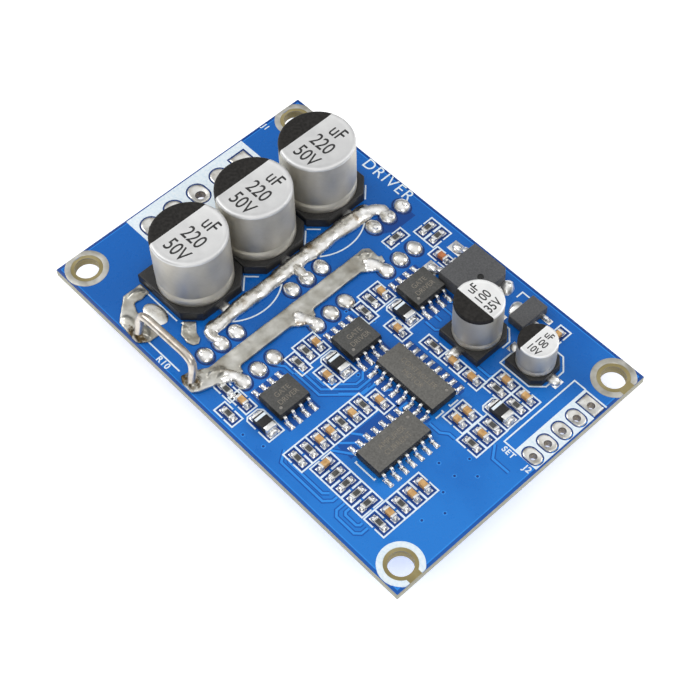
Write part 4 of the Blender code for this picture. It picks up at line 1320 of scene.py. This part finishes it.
# %% Build the small regulator
low, high = measured("logic_supply_regulator")
LOGIC_X, LOGIC_Y = 47.1, 38.1
body = block((-1.25, -2.25, 0.05), (1.25, 2.25, high.z), 0.1, segments=3)
add_piece("logic_supply_regulator_case", body, [PACKAGE_EPOXY], ["logic_supply_regulator"],
          LOGIC_X, LOGIC_Y)
metal = bmesh.new()
for index, y in enumerate((-1.5, 0, 1.5)):
    add_to(metal, block((0.8, y - 0.23, 0.06), (2.0, y + 0.23, 0.42), 0.06))
    add_to(metal, mound((0.42, 0.36), 0.34, index, 1.1, 0.2, finish=1), 2.1, y, 0.05)
    add_to(metal, tin_pad((1.2, y - 0.4), (2.7, y + 0.4)))
add_to(metal, block((-1.9, -0.85, 0.05), (-0.8, 0.85, 0.42), 0.06))
add_to(metal, mound((1.15, 1.2), 0.55, 5, 0.6, 0.2, finish=1), -1.75, 0, 0.04)
add_piece("logic_supply_regulator_metal", metal, [PLATED, FRESH_SOLDER], ["logic_supply_regulator"],
          LOGIC_X, LOGIC_Y, sharp=50)
print("small regulator ready")

# %% [markdown]
# ## Can capacitors
# A drawn aluminium can stands on a square plastic base with two cut corners. Its rim is rounded, and a
# groove near the bottom holds the seal. Ink covers one side of the top to mark the minus lead: the ink
# also runs down over the rim, so the finish decides by place where the metal is black. The value is
# printed on the bare part.

# %% Aluminium with an ink segment
def can_finish(name, radius, top, edge, shine):
    """Satin aluminium. Below the rim the wall is painted darker and warmer than the top, a painted shade that
    also offsets the board's blue reflected in it. Left of `edge` and above the rim it is black ink.
    """
    finish = new_finish(name, Specular_IOR_Level=0.2)
    metal = ramp(finish, speckle(finish, 2.5, 4), (0.3, [c * shine for c in (0.8, 0.8, 0.8)]),
                 (0.7, [c * shine for c in (0.9, 0.9, 0.895)]))
    # Painted shade: the wall is darker and warmer than the top.
    wall = ramp(finish, speckle(finish, 2.5, 4), (0.3, (0.63, 0.605, 0.54)), (0.7, (0.69, 0.665, 0.6)))
    ink = ramp(finish, speckle(finish, 0.4, 6), (0.3, (0.012, 0.011, 0.01)), (0.7, (0.03, 0.028, 0.026)))
    place = add_node(finish, "SeparateXYZ", Vector=millimetres(finish)).outputs
    left = maths(finish, "LESS_THAN", place["X"], edge)
    high = maths(finish, "GREATER_THAN", place["Z"], top - 0.2 * radius - 0.1)
    inked_part = maths(finish, "MULTIPLY", left, high)
    on_top = maths(finish, "GREATER_THAN", place["Z"], top - 0.08 * radius)
    bare = mixed(finish, on_top, wall, metal)
    wire(finish, mixed(finish, inked_part, bare, ink), "Base Color")
    wire(finish, maths(finish, "SUBTRACT", 1.0, inked_part), "Metallic")
    wire(finish, spread(finish, speckle(finish, 0.6, 4), 0.5, 0.62), "Roughness")
    raise_surface(finish, speckle(finish, 0.12, 5), 0.01, 0.6)
    return finish


CAN_INK = noisy_finish("can_ink", ((0.3,), (0.3, (0.01, 0.01, 0.01)), (0.7, (0.03, 0.03, 0.03))),
                       roughness=0.45)
WINDING = noisy_finish("winding_paper", ((0.6, 3.0, (1, 1, 4)), (0.3, (0.3, 0.2, 0.09)),
                                         (0.7, (0.45, 0.33, 0.18))), roughness=0.75)
print("can finishes ready")

# %% Build the cans
# node: turn, value words, ink edge as a share of the radius, brightness of the metal
CANS = {node: (0, ("uF", "220", "50V"), -0.38, 0.95) for node in BULK}
CANS["supply_capacitor"] = (90, ("uF", "100", "35V"), -0.22, 1.12)
CANS["regulator_capacitor"] = (0, ("uF", "100", "10V"), -0.3, 1.12)


def can_shape(radius, floor, top):
    """The can's wall, rim, groove and mouth, as one turned sheet of metal."""
    rim = radius * 0.075
    groove = floor + radius * 0.36
    wall = 0.2
    profile = [(0, top - 0.05), (radius - rim * 2.4, top - 0.05), (radius - rim * 1.7, top - 0.03),
               (radius - rim * 1.1, top)]
    for step in range(1, 8):
        angle = math.radians(90 - step * 90 / 7)
        profile.append((radius - rim + rim * math.cos(angle), top - rim + rim * math.sin(angle)))
    profile += [(radius, groove + 0.5), (radius * 0.985, groove + 0.28), (radius * 0.955, groove + 0.1),
                (radius * 0.95, groove), (radius * 0.958, groove - 0.12), (radius * 0.985, groove - 0.28),
                (radius * 0.998, groove - 0.45), (radius * 0.998, floor + 0.25),
                (radius * 0.985, floor + 0.06), (radius * 0.95, floor), (radius * 0.93, floor + 0.05),
                (radius * 0.91, groove), (radius - wall, groove + 0.5), (radius - wall, top - rim),
                (0, top - rim)]
    return turned(profile, 96)


def base_shape(radius, base_half, top):
    """The moulded base: a plate with two cut corners and a shallow round seat for the can."""
    chamfer = radius * 0.41
    outline = [(-base_half, -base_half), (base_half - chamfer, -base_half), (base_half, -base_half + chamfer),
               (base_half, base_half - chamfer), (base_half - chamfer, base_half), (-base_half, base_half)]
    solid = slab(outline, 0.03, top, 0.14, segments=3)
    seat = peg(top + 1, top - radius * 0.09 - 0.04, radius + 0.07, radius + 0.05, 64)
    return carved(solid, seat)


def build_capacitor(node, turn, words, share, shine):
    """The can on its base, the value on its top, and the winding with its two leads inside it."""
    low, high = measured(node + "_can")
    x, y = centre_of(node + "_can")
    radius, floor, top = (high.x - low.x) / 2, low.z, high.z
    base_low, base_high = measured(node + "_base")
    base_half = (base_high.x - base_low.x) / 2
    metal = can_finish(node + "_metal", radius, top, share * radius, shine)
    add_piece(node + "_shell", can_shape(radius, floor, top), [metal], [node + "_can"], x,
              y, turn, 40)
    add_piece(node + "_foot", base_shape(radius, base_half, base_high.z), [BASE_PLASTIC], [node + "_base"],
              x, y, turn)
    print_shape = bmesh.new()
    size = radius * 0.4
    for index, word in enumerate(words):
        add_to(print_shape, lettering(word, size, radius * 0.2, (1 - index) * size * 1.36, top - 0.045, 0,
                                      0.78, bold=0.02, thickness=0.012))
    add_piece(node + "_value", print_shape, [CAN_INK], x=x, y=y, turn=turn)
    inside = peg(top - 0.7, floor + 0.2, radius * 0.88)
    drop, lead_width = radius * 0.4, radius * 0.2
    for side in (-1, 1):
        path = rounded([(side * drop, 0, floor + 0.5), (side * drop, 0, 0.2),
                        (side * (base_half + radius * 0.12), 0, 0.2)], 0.3, 5)
        add_to(inside, swept(path, strip_section(lead_width, 0.22), (0, 1, 0), 1))
        toe = side * (base_half + 0.45)
        add_to(inside, mound((1.0, 0.78), 0.62, side, 0.34, 0.12, 2), toe, 0, 0.04)
        pad = sorted((side * (base_half - 0.4), side * (base_half + 1.5)))
        add_to(inside, tin_pad((pad[0], -0.75), (pad[1], 0.75), 2))
    add_piece(node + "_inside", inside, [WINDING, PLATED, FRESH_SOLDER], [node + "_winding"], x,
              y, turn, 50)
    print(f"{node}: {2 * radius:.1f} mm can, {top:.1f} mm high")


for node, settings in CANS.items():
    build_capacitor(node, *settings)

# %% [markdown]
# ## Power transistors
# Six flat transistors lie under the board on their metal tabs. Their leads bend up through the board, and
# on the upper face each one ends in a dome of solder. Some domes leave the cut end of the lead showing.

# %% Build the transistors and their solder domes
PACKAGE_START, PACKAGE_LENGTH, PACKAGE_WIDTH = 2.1, 9.2, 10.1
TAB_LENGTH, TAB_THICKNESS, TAB_HOLE = 6.3, 1.3, 1.8


def transistor(node):
    """A package on its tab, three bent leads, and the solder on both faces of the board."""
    facing_left = node.startswith("high")
    turn = 0 if facing_left else 180
    x, y = joints_of(node)
    bottom, package_top = measured(node)[0].z, -THICKNESS - 0.3
    start, end = -PACKAGE_START, -PACKAGE_START - PACKAGE_LENGTH
    half = PACKAGE_WIDTH / 2
    tab_end = end - TAB_LENGTH
    case = block((end, -half, bottom + 0.5), (start, half, package_top), 0.25, segments=3)
    for corner in (-1, 1):
        add_to(case, peg(package_top + 0.004, package_top - 0.05, 0.7, 0.75, 24,
                         centre=(end + 1.8, corner * (half - 1.8))))
    add_piece(node + "_package", case, [PACKAGE_EPOXY], [node], x, y, turn)
    tab = slab([(tab_end, -half + 0.9), (tab_end + 0.9, -half + 0.05), (start - 1, -half + 0.05),
                (start - 1, half - 0.05), (tab_end + 0.9, half - 0.05), (tab_end, half - 0.9)],
               bottom, bottom + TAB_THICKNESS, 0.08)
    metal = carved(tab, peg(2, bottom - 1, TAB_HOLE, centre=(tab_end + 2.8, 0)))
    level = bottom + 2.6
    domes = bmesh.new()
    for index, along in enumerate(row_of(0, LEAD_SPACING, 3)):
        path = rounded([(start - 0.5, along, level), (-0.3, along, level), (0, along, level + 0.6),
                        (0, along, 0.72)], 0.5, 5)
        add_to(metal, swept(path, strip_section(0.8, 0.5, 0.06), (0, 1, 0)))
        seed = round(x * 3 + along * 5 + y)
        dome = mound((1.24, 1.06), 0.8, seed, 0.45, 0.08, rings=14, steps=48)
        add_to(domes, dome, 0, along, 0.035)
        if facing_left or seed % 3 == 0:
            tip = mound((0.46, 0.4), 0.34, seed + 2, 0.35, 0.15, rings=7, steps=20)
            add_to(domes, tip, 0.4 * math.cos(seed), along + 0.35 * math.sin(seed), 0.6)
        under = mound((0.95, 0.9), 0.5, seed + 5, 1.0, 0.2, rings=5, steps=18)
        add_to(domes, under, matrix=Matrix.Translation((0, along, -THICKNESS - 0.03))
               @ Matrix.Rotation(math.pi, 4, "X"))
    add_piece(node + "_metal", metal, [PLATED], [node], x, y, turn, 40)
    add_piece(node + "_joints", domes, [SOLDER], [node], x, y, turn, 70)


for node in TRANSISTORS:
    transistor(node)
print(len(TRANSISTORS), "transistors,", 3 * len(TRANSISTORS), "solder domes")

# %% [markdown]
# ## Heavy conductors
# Where much current flows, copper alone is too thin, so the tracks carry a thick bead of solder. The
# supply track was drawn by hand and is bright and lumpy; the return bar is wide, flat and dull. Both are
# rough shapes melted into one.

# %% Supply track
high_joints = [joints_of(node) for node in TRANSISTORS if node.startswith("high")]
low_track, high_track = measured("supply_track")
TRACK_X = low_track.x + 0.7


def drop_along(shape, path, half_width, height, gap=0.32, seed=0):
    """Drops of solder along a path, each a little different in width and height."""
    step = 0
    for start, end in zip(path, path[1:]):
        start, end = Vector(start), Vector(end)
        count = max(1, round((end - start).length / gap))
        for index in range(count):
            place = start.lerp(end, index / count)
            step += 1
            wide = half_width * (1 + 0.22 * noise.noise(Vector((step * 0.11, seed * 3.7, 2))))
            high = height * (1 + 0.3 * noise.noise(Vector((step * 0.17, seed * 5.1, 7))))
            drift = 0.16 * noise.noise(Vector((step * 0.09, seed, 4)))
            add_to(shape, mound((wide, wide), high, step + seed, 0.34, 0.1, rings=6, steps=16),
                   place.x + drift, place.y, 0.03)


def add_lumps(shape, *lumps):
    """Single lumps of solder, each as (radii, height, seed, fullness, unevenness, x, y)."""
    for *dome, x, y in lumps:
        add_to(shape, mound(*dome, rings=6, steps=18), x, y, 0.03)


bead = bmesh.new()
near_y, mid_y, far_y = sorted(y for x, y in high_joints)
joint_x = high_joints[0][0]
for low_end, high_end, shift, half in ((near_y + 0.6, 20.0, 0.22, 0.72), (19.5, 25.5, 0.1, 0.74),
                                       (25.0, 35.2, 0.05, 0.92)):
    middle = TRACK_X + shift
    add_to(bead, slab([(middle - half, low_end), (middle + half, low_end), (middle + half, high_end),
                       (middle - half, high_end)], 0.02, 0.6))
drop_along(bead, [(TRACK_X + 0.25, near_y + 0.8), (TRACK_X + 0.25, 20)], 1.08, 0.85, seed=1)
drop_along(bead, [(TRACK_X + 0.1, 20), (TRACK_X, 25)], 1.15, 0.9, seed=2)
drop_along(bead, [(TRACK_X, 25), (TRACK_X + 0.1, 35)], 1.3, 0.85, seed=3)
drop_along(bead, [(TRACK_X + 0.1, 34.6), (TRACK_X + 0.8, 36.2), (joint_x - 1.2, 36.8), (joint_x, far_y)],
           0.9, 0.9, seed=4)
drop_along(bead, [(TRACK_X + 0.25, near_y + 1.0), (TRACK_X + 0.35, near_y + 0.1),
                  (joint_x - 1.2, near_y - 0.15), (joint_x, near_y)], 0.8, 0.85, seed=5)
drop_along(bead, [(TRACK_X + 0.3, mid_y), (joint_x, mid_y)], 0.75, 0.9, seed=6)
for index, node in enumerate(BULK):
    middle = centre_of(node + "_base")[1]
    drop_along(bead, [(TRACK_X, middle), (TRACK_X - 1.2, middle)], 0.5, 0.6, seed=7 + index)
add_piece("supply_track_bead", melted(bead, 0.1, 10, 0.05, 1.6, 2), [SOLDER], ["supply_track"],
          sharp=80)
print("bead from", round(low_track.y, 1), "to", round(high_track.y, 1), "mm")

# %% Return bar
low_bar, high_bar = measured("return_bar")
BAR_X = 26.5
HALF_BAR = 1.25
bar = bmesh.new()
add_to(bar, slab([(BAR_X - HALF_BAR, 4.2), (BAR_X - 2.4, 2.3), (BAR_X - 2.6, 1.0), (BAR_X - 1.6, 0.45),
                  (BAR_X, 0.45), (BAR_X + 0.6, 1.2), (BAR_X + HALF_BAR, 3.0), (BAR_X + HALF_BAR, 30.6),
                  (BAR_X + 0.9, 31.1), (BAR_X - 0.8, 31.1), (BAR_X - HALF_BAR, 30.3)], 0.02, 0.62))
add_lumps(bar, ((1.35, 1.2), 1.3, 3, 0.6, 0.2, BAR_X - 0.9, 1.6),
          ((1.1, 1.6), 1.1, 8, 0.7, 0.2, BAR_X + 0.2, 4.4),
          ((0.9, 1.4), 1.0, 5, 0.7, 0.25, BAR_X - 0.3, 29.8))
arms = bmesh.new()
for index, node in enumerate(TRANSISTORS):
    if node.startswith("low"):
        joint_x, y = joints_of(node)
        y -= LEAD_SPACING
        add_to(bar, slab([(BAR_X + 1, y - 3.0), (BAR_X + 2.1, y - 1.4), (BAR_X + 2.1, y + 0.9),
                          (BAR_X + 1, y + 1.3)], 0.02, 0.5))
        drop_along(arms, [(BAR_X + 0.6, y - 0.9), (BAR_X + 1.9, y - 0.3), (joint_x, y)], 0.82, 0.85,
                   seed=20 + index)
        drop_along(arms, [(BAR_X + 1.3, y - 1.6), (BAR_X + 1.9, y - 0.8)], 0.6, 0.7, seed=30 + index)
add_piece("return_bar_arms", melted(arms, 0.1, 9, 0.05, 1.4, 3), [SOLDER], ["return_bar"], sharp=80)
bar = melted(bar, 0.14, 5, 0.07, 1.6, 4)
add_piece("return_bar_tinned", bar, [TINNED_BAR], ["return_bar"], sharp=80)
print("bar", round(high_bar.y - low_bar.y, 1), "mm long")

# %% Lands by the shunt
land = bmesh.new()
add_to(land, slab([(9.4, 6.4), (9.4, 3.5), (12.2, 0.6), (14.6, 0.35), (16.3, 0.35), (17.2, 1.6), (17.2, 3.3),
                   (15.5, 2.9), (12.4, 3.4), (11.3, 3.9), (11.3, 6.4)], 0.02, 0.32))
add_lumps(land, ((1.5, 1.3), 1.15, 2, 0.7, 0.3, 15.5, 1.5), ((1.0, 1.6), 0.6, 5, 0.8, 0.3, 10.4, 4.9),
          ((1.6, 0.9), 0.5, 7, 0.8, 0.3, 12.8, 1.7))
add_piece("shunt_land_tinned", melted(land, 0.11, 8, 0.04, 1.4, 6), [TINNED_SHUNT_LAND], ["shunt_land"],
          sharp=80)
add_piece("oval_land", mound((2.0, 1.3), 0.3, 3, 0.4, 0.04, rings=12, steps=48), [PAD_TIN],
          x=14.3, y=4.8, sharp=70)
spare = slab([(17.55, 6.45), (19.0, 5.05), (20.4, 4.8), (21.3, 5.15), (21.6, 5.8), (21.1, 6.5), (20.1, 6.75),
              (18.8, 7.75)], 0.02, 0.26)
add_piece("spare_land_tinned", melted(spare, 0.1, 5, 0.05, 0.6, 9), [TINNED], ["spare_land"],
          sharp=80)
print("three lands")

# %% [markdown]
# ## Current shunt
# A staple of bare round wire carries the whole motor current, and the amplifier reads the voltage along
# it. Both legs go through the board. The path comes from the frame part's box, and easing the corners
# gives bends like those of hand-formed wire.

# %% Bend the shunt
low, high = measured("current_shunt")
WIRE_RADIUS = 0.55
rise = high.z - WIRE_RADIUS
left, right = (low.x + WIRE_RADIUS, 1.15), (high.x - WIRE_RADIUS, 1.3)
lean = high.y - WIRE_RADIUS - right[1]
path = rounded([(*left, -THICKNESS - 0.5), (*left, 0.3), (left[0] + 0.02, left[1] + lean * 0.9, rise - 0.9),
                (left[0] + 1.1, left[1] + lean, rise), (right[0] - 1.1, right[1] + lean, rise),
                (right[0] - 0.02, right[1] + lean * 0.9, rise - 0.9), (*right, 0.3),
                (*right, -THICKNESS - 0.5)], 1.3, 10)
wire_shape = swept(path, circle(WIRE_RADIUS, 24), (0.0, 1.0, 0.0))
WIRE_METAL = noisy_finish("tinned_wire", ((1.2, 4), (0.3, (0.5, 0.44, 0.37)), (0.7, (0.78, 0.74, 0.69))),
                          ((0.9, 2), 0.3, 0.42), ((1.2, 1), 0.01, 0.25), metallic=1.0)
add_piece("current_shunt_wire", wire_shape, [WIRE_METAL], ["current_shunt"], sharp=60)
print("crown at", round(rise, 2), "mm")

# %% Measure the visual model and close
low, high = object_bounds()
shown = sum(len(o.data.polygons) for o in bpy.data.objects if o.type == "MESH" and not o.hide_render)
print("visual model, metres:", [round(side, 4) for side in high - low], "faces:", shown)
